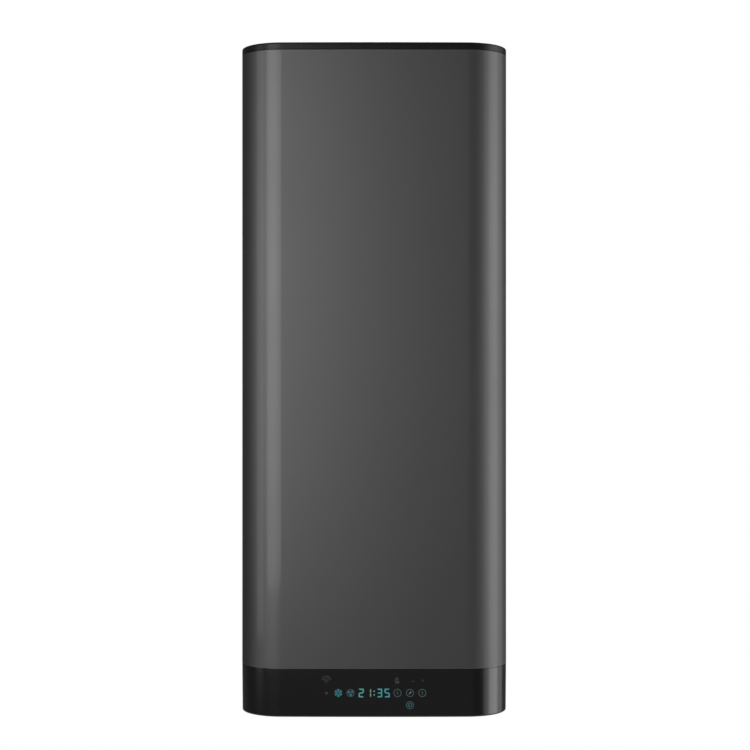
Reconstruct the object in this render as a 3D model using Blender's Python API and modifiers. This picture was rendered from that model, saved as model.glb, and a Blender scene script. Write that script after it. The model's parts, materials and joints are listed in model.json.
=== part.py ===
"""Flat wall-hung storage water heater: two upright tanks in foam behind one steel casing.

The origin is the middle of the upper wall bracket's rear face, in the plane of the wall.
The front faces -Y, the wall is on the +Y side and +Z is up. All lengths are in metres.
"""
import math

import bmesh
import bpy
from mathutils import Matrix, Vector

# Whole body
body_width = 0.480
body_height = 1.200
body_depth = 0.270
corner_radius = 0.076
front_crown = 0.0015
wall_standoff = 0.012
bracket_below_top = 0.200

# Fits that all pieces share
fit_gap = 0.0003
cut_overrun = 0.003
fuse_overlap = 0.0005

# Casing and end caps
casing_wall = 0.0006
top_band = 0.012
bottom_cap_height = 0.085
bottom_cap_draft = 0.0013
cap_wall = 0.0025
cap_floor = 0.003
cap_skirt = 0.010
cap_edge_radius = 0.003

# Tanks and the foam round them
tank_radius = 0.1075
tank_spacing = 0.228
tank_wall = 0.0018
tank_dome_height = 0.035
foam_over_tank = 0.030
foam_under_tank = 0.020
neck_radius = 0.046
neck_drop = 0.007
opening_radius = 0.027
flange_well_clearance = 0.004

# Flange sets under the tanks
flange_thickness = 0.004
gasket_thickness = 0.003
gasket_rim = 0.0085
bolt_circle = 0.040
bolt_radius = 0.003
bolt_head_radius = 0.0055
bolt_head_height = 0.004
bolt_grip_in_neck = 0.0055
bolts_per_flange = 4

# Heating elements, anodes and sensor sleeves, placed from the tank's axis
element_radius = 0.00425
element_half_width = 0.016
element_forward = 0.009
element_length = 0.380
element_tail = 0.012
element_bend_share = 0.88
anode_radius = 0.009
anode_stud_radius = 0.004
anode_rearward = 0.014
anode_length = 0.420
anode_lift = 0.012
anode_tail = 0.008
sleeve_radius = 0.0035
sleeve_wall = 0.0006
sleeve_length = 0.300
sleeve_tail = 0.004

# Water nipples and the pipes inside the tanks
nipple_spacing = 0.100
nipple_rearward = 0.020
nipple_radius = 0.0105
nipple_bore_radius = 0.0075
nipple_stub = 0.020
nipple_inside_tank = 0.014
nipple_hole_clearance = 0.0015
standpipe_wall = 0.0012
standpipe_seat = 0.020
standpipe_below_top = 0.030
diffuser_rise = 0.026
diffuser_window = 0.008
diffuser_lid = 0.0015
ring_radius = 0.016
ring_thickness = 0.002

# Transfer pipe from the top of the cold tank to the bottom of the hot tank
transfer_radius = 0.008
transfer_wall = 0.001
transfer_inward = 0.050
transfer_rearward = 0.045
transfer_groove_rearward = 0.062
transfer_bend_radius = 0.012
transfer_into_tank = 0.010
transfer_over_tank = 0.010
transfer_under_tank = 0.009

# Wall brackets
bracket_length = 0.300
bracket_sheet = 0.002
bracket_plate_height = 0.044
bracket_flange_height = 0.016
lower_bracket_rise = 0.240
slot_spacing = 0.220
slot_width = 0.010
slot_height = 0.024
bracket_screw_spacing = 0.270
bracket_screw_radius = 0.0025
bracket_screw_length = 0.010
bracket_screw_head_radius = 0.0052
bracket_screw_head_height = 0.0025

# Screws that hold the bottom cap's skirt to the back of the casing
cap_screw_spacing = 0.300
cap_screw_radius = 0.00175
cap_screw_length = 0.006
cap_screw_head_radius = 0.0035
cap_screw_head_height = 0.0016

# Tray of the power board, in the front of the bottom cap
tray_length = 0.220
tray_width = 0.060
tray_height = 0.012
tray_wall = 0.002
tray_floor = 0.002
tray_ledge = 0.002
tray_front_clearance = 0.015
tray_foot_radius = 0.004
tray_foot_height = 0.006
board_pocket_length = 0.148
board_pocket_depth = 0.004
board_clearance = 0.0005
board_thickness = 0.0016

# Parts soldered on the power board, each as length, width and height
relay_size = (0.019, 0.015, 0.016)
transformer_size = (0.030, 0.024, 0.022)
terminal_size = (0.064, 0.010, 0.014)
capacitor_radius = 0.006
capacitor_height = 0.020
relay_place_shares = (-0.36, -0.17)
transformer_place_share = 0.20
capacitor_place_share = 0.40

# Thermal cut-out and its reset button
cutout_length = 0.036
cutout_width = 0.030
cutout_height = 0.028
cutout_edge = 0.001
cutout_tab_width = 0.006
cutout_tab_thickness = 0.0008
cutout_tab_height = 0.008
cutout_tab_place_share = 0.28
button_radius = 0.003
button_in_bore = 0.007
button_below_tray = 0.004
button_edge = 0.0008
button_travel = 0.002
button_end_room = 0.001
button_tray_clearance = 0.0006

# Display behind the front of the bottom cap, placed from the cap's lower edge
display_rise = 0.042
display_board_length = 0.206
display_board_height = 0.058
display_standoff = 0.008
display_module_length = 0.062
display_module_height = 0.022
stake_radius = 0.0035
stake_pin_radius = 0.0015
stake_pin_length = 0.003
stake_edge = 0.006
film_thickness = 0.0003
key_pitch = 0.0218
key_cell_radius = 0.005
icon_cell_radius = 0.0048
key_drop = 0.0218
icon_centre_x = -0.0634
key_centre_x = 0.0638
guide_length = 0.056
guide_height = 0.014
key_guide_height = 0.034

# Cable gland between the nipples
gland_forward_of_back = 0.078
gland_thread_radius = 0.008
gland_bore_radius = 0.0048
gland_head_radius = 0.012
gland_head_height = 0.009
gland_thread_rise = 0.009
gland_nut_radius = 0.0115
gland_nut_height = 0.005

# Service cover under the reset button
service_opening_length = 0.040
service_opening_width = 0.032
service_cover_length = 0.064
service_cover_width = 0.040
service_cover_thickness = 0.0012
cover_screw_radius = 0.0015
cover_screw_length = 0.006
cover_screw_head_radius = 0.003
cover_screw_head_height = 0.0012
cover_screw_edge = 0.006

# Wires inside the bottom cap
element_wire_radius = 0.0016
sensor_wire_radius = 0.001
display_wire_radius = 0.0018
wire_step = 0.009
wire_drop = 0.010
sensor_into_sleeve = 0.040

# How finely round shapes are divided
corner_steps = 8
crown_steps = 4
fillet_steps = 3
dome_steps = 4
bend_steps = 3
tank_steps = 24
pipe_steps = 20
small_steps = 12
merge_distance = 0.0001
smooth_angle = math.radians(35)

# Levels and planes that follow from the sizes above
top_z = bracket_below_top
bottom_z = top_z - body_height
top_seam_z = top_z - top_band
bottom_seam_z = bottom_z + bottom_cap_height
back_y = -wall_standoff
front_y = back_y - body_depth
middle_y = (front_y + back_y) / 2
skirt_inset = casing_wall + fit_gap
cap_inner_inset = skirt_inset + cap_wall
foam_top_z = top_seam_z - cap_skirt - fit_gap
foam_bottom_z = bottom_seam_z + cap_skirt + fit_gap
tank_top_z = foam_top_z - foam_over_tank
tank_bottom_z = foam_bottom_z + foam_under_tank
neck_face_z = tank_bottom_z - neck_drop
gasket_top_z = neck_face_z - fit_gap
flange_top_z = gasket_top_z - gasket_thickness - fit_gap
flange_bottom_z = flange_top_z - flange_thickness
nipple_y = middle_y + nipple_rearward
nipple_end_z = bottom_z - nipple_stub
floor_top_z = bottom_z + cap_floor
cap_front_y = front_y + front_crown + cap_inner_inset
tray_y = cap_front_y + tray_front_clearance + tray_width / 2
tray_floor_z = floor_top_z + fit_gap + tray_foot_height
tray_inside_z = tray_floor_z + tray_floor
board_length = board_pocket_length - 2 * board_clearance
board_width = tray_width - 2 * tray_wall - 2 * board_clearance
board_x = (board_pocket_length - tray_length) / 2 + tray_wall
board_z = tray_floor_z + tray_height - board_pocket_depth + fit_gap
cutout_x = tray_length / 2 - tray_wall - board_clearance - cutout_length / 2
cutout_z = tray_inside_z + fit_gap
display_z = bottom_z + display_rise
display_board_y = cap_front_y + display_standoff + board_thickness / 2
gland_y = back_y - gland_forward_of_back
bracket_levels = {"upper": 0, "lower": bottom_z + lower_bracket_rise}

for leftover in list(bpy.data.objects):
    bpy.data.objects.remove(leftover)

parts = bpy.data.collections.new("storage_water_heater")
cutters = bpy.data.collections.new("cutters")
for collection in (parts, cutters):
    bpy.context.scene.collection.children.link(collection)


def surface(name, colour, roughness, metallic=0):
    """Material with one colour, roughness and metallic value."""
    made = bpy.data.materials.new(name)
    made.use_nodes = True
    shader = made.node_tree.nodes["Principled BSDF"]
    shader.inputs["Base Color"].default_value = (*colour, 1)
    shader.inputs["Roughness"].default_value = roughness
    shader.inputs["Metallic"].default_value = metallic
    made.diffuse_color = (*colour, 1)
    return made


graphite_paint = surface("graphite_paint", (0.115, 0.115, 0.12), 0.34, 0.6)
gloss_black = surface("gloss_black", (0.01, 0.01, 0.011), 0.12)
satin_black = surface("satin_black", (0.02, 0.02, 0.022), 0.45)
zinc_steel = surface("zinc_steel", (0.55, 0.56, 0.57), 0.35, 1)
enamel = surface("enamel", (0.05, 0.09, 0.16), 0.2)
foam = surface("foam", (0.78, 0.68, 0.42), 0.9)
copper = surface("copper", (0.72, 0.38, 0.24), 0.3, 1)
magnesium = surface("magnesium", (0.6, 0.6, 0.58), 0.55, 1)
rubber = surface("rubber", (0.025, 0.025, 0.025), 0.8)
red_plastic = surface("red_plastic", (0.5, 0.02, 0.02), 0.4)
blue_plastic = surface("blue_plastic", (0.02, 0.08, 0.45), 0.4)
white_plastic = surface("white_plastic", (0.75, 0.75, 0.73), 0.4)
cream_plastic = surface("cream_plastic", (0.62, 0.58, 0.48), 0.5)
board_green = surface("board_green", (0.02, 0.16, 0.06), 0.4)
clear_film = surface("clear_film", (0.5, 0.42, 0.2), 0.3)
wire_brown = surface("wire_brown", (0.16, 0.06, 0.02), 0.5)
wire_blue = surface("wire_blue", (0.03, 0.12, 0.5), 0.5)
wire_grey = surface("wire_grey", (0.3, 0.3, 0.3), 0.5)


def place(name, data, material=None, at=(0, 0, 0), turn=(0, 0, 0), parent=None):
    """Object for a piece, or for a hidden cutter where no material is given."""
    made = bpy.data.objects.new(name, data)
    made.location = at
    made.rotation_euler = turn
    made.parent = parent
    if material:
        data.materials.append(material)
        parts.objects.link(made)
    else:
        made.hide_render = True
        made.display_type = "WIRE"
        cutters.objects.link(made)
    return made


def axis_marker(name, at):
    """Empty that carries the pieces set round one upright axis."""
    marker = bpy.data.objects.new(name, None)
    marker.location = at
    cutters.objects.link(marker)
    return marker


def boolean(target, tool, operation="DIFFERENCE"):
    """Cut or join the target with the tool."""
    step = target.modifiers.new(tool.name, "BOOLEAN")
    step.operation = operation
    step.solver = "EXACT"
    step.object = tool
    return target


def rounded(target, width, segments=2):
    """Bevel the target's edges by the width."""
    step = target.modifiers.new("rounded", "BEVEL")
    step.width = width
    step.segments = segments
    return target


def mesh_from(bm, name):
    """Mesh of a finished bmesh, smooth where its faces meet gently."""
    mesh = bpy.data.meshes.new(name)
    bm.to_mesh(mesh)
    bm.free()
    mesh.shade_smooth()
    mesh.set_sharp_from_angle(angle=smooth_angle)
    return mesh


def box(name, size, at, material=None, turn=(0, 0, 0), parent=None):
    """Box of the given length, width and height about its middle."""
    bm = bmesh.new()
    bmesh.ops.create_cube(bm, size=1)
    bmesh.ops.scale(bm, vec=size, verts=bm.verts)
    return place(name, mesh_from(bm, name), material, at, turn, parent)


def rod(name, radius, low_z, high_z, material=None, at=(0, 0), steps=pipe_steps, parent=None):
    """Upright cylinder between two levels."""
    bm = bmesh.new()
    bmesh.ops.create_cone(bm, cap_ends=True, segments=steps, radius1=radius, radius2=radius,
                          depth=high_z - low_z)
    middle = (*at, (low_z + high_z) / 2)
    return place(name, mesh_from(bm, name), material, middle, parent=parent)


def loft(name, rings, material=None, closed=False):
    """Skin through rings of equally many points, with its ends filled or joined to each other."""
    bm = bmesh.new()
    loops = [[bm.verts.new(point) for point in ring] for ring in rings]
    pairs = list(zip(loops, loops[1:]))
    if closed:
        pairs.append((loops[-1], loops[0]))
    else:
        bm.faces.new(reversed(loops[0]))
        bm.faces.new(loops[-1])
    for lower, upper in pairs:
        for index, corner in enumerate(lower):
            after = (index + 1) % len(lower)
            bm.faces.new((corner, lower[after], upper[after], upper[index]))
    return place(name, mesh_from(bm, name), material)


def turned(name, profile, material=None, at=(0, 0, 0), turn=(0, 0, 0), steps=pipe_steps,
           parent=None):
    """Turned piece: the profile of radius and height runs down its outer side."""
    ends = [(index, index + 1) for index in range(len(profile) - 1)]
    if profile[0][0] > 0:
        ends.append((len(profile) - 1, 0))
    mesh = bpy.data.meshes.new(name)
    mesh.from_pydata([(radius, 0, height) for radius, height in profile], ends, [])
    made = place(name, mesh, material, at, turn, parent)
    step = made.modifiers.new("turned", "SCREW")
    step.axis = "Z"
    step.steps = steps
    step.render_steps = steps
    step.use_merge_vertices = True
    step.merge_threshold = merge_distance
    return made


def as_mesh(drawn, material=None):
    """Mesh object in the place of a curve object, so that it can be cut or can cut."""
    bpy.context.view_layer.update()
    mesh = bpy.data.meshes.new_from_object(drawn.evaluated_get(
        bpy.context.evaluated_depsgraph_get()))
    bm = bmesh.new()
    bm.from_mesh(mesh)
    bmesh.ops.remove_doubles(bm, verts=bm.verts, dist=merge_distance / 10)
    bm.to_mesh(mesh)
    bm.free()
    name, where = drawn.name, drawn.matrix_world.copy()
    bpy.data.objects.remove(drawn)
    mesh.materials.clear()
    made = place(name, mesh, material)
    made.matrix_world = where
    return made


def tube(name, points, radius, material=None, resolution=2, parent=None):
    """Round tube or wire along the points."""
    curve = bpy.data.curves.new(name, "CURVE")
    curve.dimensions = "3D"
    curve.bevel_depth = radius
    curve.bevel_resolution = resolution
    curve.use_fill_caps = True
    spline = curve.splines.new("POLY")
    spline.points.add(len(points) - 1)
    for spot, point in zip(spline.points, points):
        spot.co = (*point, 1)
    return place(name, curve, material, parent=parent)


def sheet_section(name, outline, length, material):
    """Bent sheet: its outline of depth and height is drawn out sideways along its length."""
    curve = bpy.data.curves.new(name, "CURVE")
    curve.dimensions = "2D"
    curve.fill_mode = "BOTH"
    curve.extrude = length / 2
    spline = curve.splines.new("POLY")
    spline.points.add(len(outline) - 1)
    for spot, (depth, height) in zip(spline.points, outline):
        spot.co = (depth, height, 0, 1)
    spline.use_cyclic_u = True
    sideways = Matrix(((0, 0, 1), (1, 0, 0), (0, 1, 0)))
    return as_mesh(place(name, curve, turn=sideways.to_euler()), material)


def bent_route(corners, radius):
    """Route through the corners, each of them rounded by an arc."""
    corners = [Vector(corner) for corner in corners]
    route = [corners[0]]
    for before, corner, after in zip(corners, corners[1:], corners[2:]):
        back = (before - corner).normalized()
        ahead = (after - corner).normalized()
        half = back.angle(ahead) / 2
        centre = corner + (back + ahead).normalized() * radius / math.sin(half)
        start = corner + back * radius / math.tan(half) - centre
        end = corner + ahead * radius / math.tan(half) - centre
        sweep = start.angle(end)
        for step in range(bend_steps + 1):
            share = step / bend_steps
            arm = start * math.sin((1 - share) * sweep) + end * math.sin(share * sweep)
            route.append(centre + arm / math.sin(sweep))
    return route + [corners[-1]]


def wire_route(points):
    """Evenly stepped points along a smooth curve through a wire's own points."""
    points = [Vector(point) for point in points]
    padded = [2 * points[0] - points[1], *points, 2 * points[-1] - points[-2]]
    route = [points[0]]
    for before, start, end, after in zip(padded, padded[1:], padded[2:], padded[3:]):
        count = max(1, round((end - start).length / wire_step))
        for step in range(1, count + 1):
            share = step / count
            route.append(0.5 * (2 * start + (end - before) * share
                                + (2 * before - 5 * start + 4 * end - after) * share ** 2
                                + (3 * start - before - 3 * end + after) * share ** 3))
    return route


def plan(inset, crown=front_crown):
    """Plan of the body, drawn in by the inset: round corners and a slightly crowned front."""
    radius = corner_radius - inset
    reach = body_width / 2 - corner_radius
    front = front_y + front_crown + corner_radius
    back = back_y - corner_radius
    points = []
    for quarter, (x, y) in enumerate(((reach, back), (-reach, back), (-reach, front), (reach, front))):
        for step in range(corner_steps + 1):
            angle = (quarter + step / corner_steps) * math.pi / 2
            points.append((x + radius * math.cos(angle), y + radius * math.sin(angle)))
        if quarter == 2:
            for step in range(1, crown_steps):
                share = 2 * step / crown_steps - 1
                points.append((reach * share, front - radius - crown * (1 - share ** 2)))
    return points


def plan_ring(inset, height, crown=front_crown):
    """The body's plan at one height."""
    return [(x, y, height) for x, y in plan(inset, crown)]


def cap_rings(end_z, shoulder_z, draft, upward):
    """Rings of a hollow end cap, from its flat end along the outside and back along the inside."""
    skirt_z = shoulder_z + (cap_skirt + fit_gap) * upward
    rings = []
    for step in range(fillet_steps + 1):
        angle = step / fillet_steps * math.pi / 2
        rise = cap_edge_radius * (1 - math.cos(angle))
        inset = draft + cap_edge_radius * (1 - math.sin(angle))
        rings.append(plan_ring(inset, end_z + rise * upward))
    rings.append(plan_ring(0, shoulder_z))
    rings.append(plan_ring(skirt_inset, shoulder_z))
    rings.append(plan_ring(skirt_inset, skirt_z))
    rings.append(plan_ring(cap_inner_inset, skirt_z, 0))
    rings.append(plan_ring(cap_inner_inset, end_z + cap_floor * upward, 0))
    return rings


def make_casing():
    """Steel casing, a seamless tube with the body's plan."""
    return loft("casing", [plan_ring(0, bottom_seam_z), plan_ring(0, top_seam_z),
                           plan_ring(casing_wall, top_seam_z),
                           plan_ring(casing_wall, bottom_seam_z)], graphite_paint, closed=True)


def make_top_cap():
    """Shallow black cap whose skirt sits in the casing's upper end."""
    rings = cap_rings(top_z, top_seam_z + fit_gap, 0, -1)
    return loft("top_cap", rings[::-1], gloss_black)


def make_bottom_cap():
    """Deep black cap with the display behind its front wall and holes for the fittings."""
    cap = loft("bottom_cap", cap_rings(bottom_z, bottom_seam_z - fit_gap, bottom_cap_draft, 1),
               gloss_black)
    low, high = bottom_z - cut_overrun, floor_top_z + cut_overrun
    for side, x in (("hot", -nipple_spacing / 2), ("cold", nipple_spacing / 2)):
        boolean(cap, rod(f"{side}_cap_hole", nipple_radius + nipple_hole_clearance, low, high,
                         at=(x, nipple_y)))
    boolean(cap, rod("gland_hole", gland_thread_radius + fit_gap, low, high, at=(0, gland_y)))
    service = (service_opening_length, service_opening_width, cap_floor + 2 * cut_overrun)
    boolean(cap, box("service_opening", service, (cutout_x, tray_y, bottom_z + cap_floor / 2)))
    recess_depth = service_cover_thickness + fit_gap
    recess = (service_cover_length + 2 * fit_gap, service_cover_width + 2 * fit_gap,
              recess_depth + cut_overrun)
    boolean(cap, box("cover_recess", recess,
                     (cutout_x, tray_y, bottom_z + (recess_depth - cut_overrun) / 2)))
    boolean(cap, rod("cover_screw_hole", cover_screw_radius + fit_gap, low, high,
                     at=(cover_screw_x(), tray_y), steps=small_steps))
    for tool in cap_screw_holes:
        boolean(cap, tool)
    for index, x in enumerate((-1, 1)):
        for row, z in enumerate((-1, 1)):
            boolean(cap, make_stake(f"display_stake_{index}_{row}", x, z), "UNION")
    return cap


def make_stake(name, side, row):
    """Post with a pin on the cap's front wall that carries a corner of the display board."""
    tip = display_standoff + board_thickness + stake_pin_length
    profile = ((0, tip), (stake_pin_radius, tip), (stake_pin_radius, display_standoff - fit_gap),
               (stake_radius, display_standoff - fit_gap), (stake_radius, -cap_wall / 2),
               (0, -cap_wall / 2))
    x = side * (display_board_length / 2 - stake_edge)
    z = display_z + row * (display_board_height / 2 - stake_edge)
    return turned(name, profile, at=(x, cap_front_y, z), turn=(-math.pi / 2, 0, 0),
                  steps=small_steps)


def cover_screw_x():
    """Place of the service cover's screw, near the cover's inner end."""
    return cutout_x - service_cover_length / 2 + cover_screw_edge


def screw(name, radius, length, head_radius, head_height, at, turn, material):
    """Screw that points along its own +Z, with its head's seat at its origin."""
    profile = ((0, length), (radius, length), (radius, 0), (head_radius, 0),
               (head_radius, -head_height), (0, -head_height))
    return turned(name, profile, material, at, turn, small_steps)


def make_service_cover():
    """Small cover in the floor of the bottom cap, below the reset button, and its screw."""
    size = (service_cover_length, service_cover_width, service_cover_thickness)
    cover = box("service_cover", size,
                (cutout_x, tray_y, bottom_z + service_cover_thickness / 2), satin_black)
    boolean(cover, rod("cover_clear_hole", cover_screw_radius + fit_gap, bottom_z - cut_overrun,
                       bottom_z + cut_overrun, at=(cover_screw_x(), tray_y), steps=small_steps))
    screw("service_cover_screw", cover_screw_radius, cover_screw_length, cover_screw_head_radius,
          cover_screw_head_height, (cover_screw_x(), tray_y, bottom_z - fit_gap), (0, 0, 0),
          zinc_steel)


def dome_height(radius, dome_radius, height):
    """How far a dome has risen from its rim at the given radius."""
    return height * math.sqrt(1 - (radius / dome_radius) ** 2)


def tank_side(shrink, stop_radius):
    """Half outline of a tank, from its top down to the radius where the outline stops."""
    radius = tank_radius - shrink
    height = tank_dome_height - shrink
    upper_rim = tank_top_z - tank_dome_height
    lower_rim = tank_bottom_z + tank_dome_height
    last = math.asin(stop_radius / radius)
    points = []
    for step in range(dome_steps + 1):
        angle = step / dome_steps * math.pi / 2
        points.append((radius * math.sin(angle), upper_rim + height * math.cos(angle)))
    for step in range(dome_steps + 1):
        angle = math.pi / 2 + step / dome_steps * (last - math.pi / 2)
        points.append((radius * math.sin(angle), lower_rim - height * math.cos(angle)))
    return points


def make_tank(side, parent):
    """Enamelled steel tank with a welded neck ring round its opening."""
    outside = tank_side(0, neck_radius)
    inside = tank_side(tank_wall, opening_radius)
    neck = [(neck_radius, neck_face_z), (opening_radius, neck_face_z)]
    tank = turned(f"tank_{side}", outside + neck + inside[::-1], enamel, steps=tank_steps,
                  parent=parent)
    for index in range(bolts_per_flange):
        boolean(tank, rod(f"neck_bolt_hole_{side}_{index}", bolt_radius + fit_gap,
                          neck_face_z - cut_overrun, neck_face_z + bolt_grip_in_neck + fit_gap,
                          at=bolt_place(index), steps=small_steps, parent=parent))
    return tank


def bolt_place(index):
    """Place of a flange bolt round the tank's axis."""
    angle = (index + 0.5) / bolts_per_flange * 2 * math.pi
    return bolt_circle * math.cos(angle), bolt_circle * math.sin(angle)


def make_flange_set(side, parent):
    """Gasket, flange plate, bolts, heating element, anode and sensor sleeve of one tank."""
    gasket_bottom = gasket_top_z - gasket_thickness
    turned(f"flange_gasket_{side}",
           ((opening_radius + gasket_rim, gasket_top_z), (opening_radius + gasket_rim, gasket_bottom),
            (opening_radius, gasket_bottom), (opening_radius, gasket_top_z)), rubber,
           parent=parent)
    plate = rod(f"flange_plate_{side}", neck_radius, flange_bottom_z, flange_top_z, zinc_steel,
                parent=parent)
    low, high = flange_bottom_z - cut_overrun, flange_top_z + cut_overrun
    for index in range(bolts_per_flange):
        x, y = bolt_place(index)
        boolean(plate, rod(f"flange_bolt_hole_{side}_{index}", bolt_radius + fit_gap, low, high,
                           at=(x, y), steps=small_steps, parent=parent))
        bolt = screw(f"flange_bolt_{side}_{index + 1}", bolt_radius,
                     neck_face_z + bolt_grip_in_neck - flange_bottom_z, bolt_head_radius,
                     bolt_head_height, (x, y, flange_bottom_z - fit_gap), (0, 0, 0), zinc_steel)
        bolt.parent = parent
    passages = [("element_hole_a", element_radius, (-element_half_width, -element_forward)),
                ("element_hole_b", element_radius, (element_half_width, -element_forward)),
                ("anode_hole", anode_stud_radius, (0, anode_rearward)),
                ("sleeve_hole", sleeve_radius, (0, -element_forward))]
    for name, radius, at in passages:
        boolean(plate, rod(f"{name}_{side}", radius + fit_gap, low, high, at=at,
                           steps=small_steps, parent=parent))
    make_element(side, parent)
    make_anode(side, parent)
    make_sleeve(side, parent)


def make_element(side, parent):
    """Hairpin heating element that stands in the tank on its two legs."""
    foot, top = flange_bottom_z - element_tail, flange_top_z + element_length
    corners = [(-element_half_width, -element_forward, foot),
               (-element_half_width, -element_forward, top),
               (element_half_width, -element_forward, top),
               (element_half_width, -element_forward, foot)]
    tube(f"heating_element_{side}", bent_route(corners, element_half_width * element_bend_share),
         element_radius, copper, parent=parent)


def make_anode(side, parent):
    """Sacrificial anode rod on a stud that passes through the flange plate."""
    rod_foot = flange_top_z + anode_lift
    stud_foot = flange_bottom_z - anode_tail
    profile = ((0, rod_foot + anode_length), (anode_radius, rod_foot + anode_length),
               (anode_radius, rod_foot), (anode_stud_radius, rod_foot),
               (anode_stud_radius, stud_foot), (0, stud_foot))
    turned(f"anode_{side}", profile, magnesium, (0, anode_rearward, 0), parent=parent)


def make_sleeve(side, parent):
    """Thin tube, closed at its top, that holds the temperature sensor."""
    top, foot = flange_top_z + sleeve_length, flange_bottom_z - sleeve_tail
    inner = sleeve_radius - sleeve_wall
    profile = ((0, top), (sleeve_radius, top), (sleeve_radius, foot), (inner, foot),
               (inner, top - sleeve_wall), (0, top - sleeve_wall))
    turned(f"sensor_sleeve_{side}", profile, copper, (0, -element_forward, 0),
           steps=small_steps, parent=parent)


def nipple_top():
    """Level of a nipple's upper end, a little inside the tank's lower dome."""
    off_axis = math.hypot(tank_spacing / 2 - nipple_spacing / 2, nipple_rearward)
    rim = tank_bottom_z + tank_dome_height
    return rim - dome_height(off_axis, tank_radius, tank_dome_height) + nipple_inside_tank


def make_nipple(side, x, colour):
    """Steel water nipple with its coloured ring under the cap."""
    top = nipple_top()
    turned(f"{side}_nipple",
           ((nipple_radius, top), (nipple_radius, nipple_end_z),
            (nipple_bore_radius, nipple_end_z), (nipple_bore_radius, top)),
           zinc_steel, (x, nipple_y, 0))
    ring_top = bottom_z - fit_gap
    ring_foot = ring_top - ring_thickness
    turned(f"{side}_ring",
           ((ring_radius, ring_top), (ring_radius, ring_foot),
            (nipple_radius + fit_gap, ring_foot), (nipple_radius + fit_gap, ring_top)),
           colour, (x, nipple_y, 0))


def make_standpipe(x):
    """Pipe in the hot tank that draws water from near the top."""
    outer = nipple_bore_radius - fit_gap
    inner = outer - standpipe_wall
    top, foot = tank_top_z - standpipe_below_top, nipple_top() - standpipe_seat
    turned("hot_standpipe", ((outer, top), (outer, foot), (inner, foot), (inner, top)), copper,
           (x, nipple_y, 0), steps=small_steps)


def make_diffuser(x):
    """Capped sleeve in the cold nipple that lets the water out sideways."""
    outer = nipple_bore_radius - fit_gap
    inner = outer - standpipe_wall
    top, foot = nipple_top() + diffuser_rise, nipple_top() - standpipe_seat
    profile = ((0, top), (outer, top), (outer, foot), (inner, foot), (inner, top - diffuser_lid),
               (0, top - diffuser_lid))
    diffuser = turned("cold_diffuser", profile, white_plastic, (x, nipple_y, 0),
                      steps=small_steps)
    size = (4 * outer, diffuser_window, diffuser_window)
    window_z = nipple_top() + diffuser_rise / 2
    boolean(diffuser, box("diffuser_window", size, (x, nipple_y, window_z)))


def transfer_route(overrun):
    """Way of the transfer pipe, over the right tank, down the groove and under the left one."""
    x = tank_spacing / 2 - transfer_inward
    y = middle_y + transfer_rearward
    groove = middle_y + transfer_groove_rearward
    rise = dome_height(math.hypot(transfer_inward, transfer_rearward), tank_radius,
                       tank_dome_height)
    start_z = tank_top_z - tank_dome_height + rise - transfer_into_tank - overrun
    end_z = tank_bottom_z + tank_dome_height - rise + transfer_into_tank + overrun
    over, under = tank_top_z + transfer_over_tank, tank_bottom_z - transfer_under_tank
    corners = [(x, y, start_z), (x, y, over), (0, groove, over), (0, groove, under),
               (-x, y, under), (-x, y, end_z)]
    return bent_route(corners, transfer_bend_radius)


def make_transfer_pipe():
    """Copper pipe that feeds the hot tank from the top of the cold one."""
    pipe = as_mesh(tube("transfer_pipe", transfer_route(0), transfer_radius, resolution=3),
                   copper)
    bore = as_mesh(tube("transfer_bore", transfer_route(cut_overrun),
                        transfer_radius - transfer_wall, resolution=3))
    return boolean(pipe, bore)


def make_foam(bracket_holes):
    """Foam that fills the casing round the tanks and pipes."""
    block = loft("foam_insulation", [plan_ring(skirt_inset, foam_bottom_z),
                                     plan_ring(skirt_inset, foam_top_z)], foam)
    for side, marker in tank_markers.items():
        outline = tank_side(-fit_gap, neck_radius)
        outline.append((0, outline[-1][1]))
        boolean(block, turned(f"tank_hollow_{side}", outline, steps=tank_steps, parent=marker))
        boolean(block, rod(f"flange_well_{side}", neck_radius + flange_well_clearance,
                           foam_bottom_z - cut_overrun, tank_bottom_z + foam_under_tank / 2,
                           parent=marker))
    for side, x in (("hot", -nipple_spacing / 2), ("cold", nipple_spacing / 2)):
        boolean(block, rod(f"{side}_foam_hole", nipple_radius + fit_gap,
                           foam_bottom_z - cut_overrun, nipple_top(), at=(x, nipple_y)))
    boolean(block, as_mesh(tube("transfer_groove", transfer_route(0),
                                transfer_radius + 2 * fit_gap, resolution=3)))
    for tool in bracket_holes:
        boolean(block, tool)
    return block


def cut_tank_passages(tanks):
    """Holes in the tanks for the nipples and for the ends of the transfer pipe."""
    reach = tank_dome_height + cut_overrun
    transfer_x = tank_spacing / 2 - transfer_inward
    transfer_y = middle_y + transfer_rearward
    for side, x in (("left", -nipple_spacing / 2), ("right", nipple_spacing / 2)):
        boolean(tanks[side], rod(f"nipple_hole_{side}", nipple_radius + fit_gap,
                                 tank_bottom_z - reach, tank_bottom_z + reach,
                                 at=(x, nipple_y)))
    boolean(tanks["left"], rod("transfer_hole_left", transfer_radius + 2 * fit_gap,
                               tank_bottom_z - reach, tank_bottom_z + reach,
                               at=(-transfer_x, transfer_y)))
    boolean(tanks["right"], rod("transfer_hole_right", transfer_radius + 2 * fit_gap,
                                tank_top_z - reach, tank_top_z + reach,
                                at=(transfer_x, transfer_y)))


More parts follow.
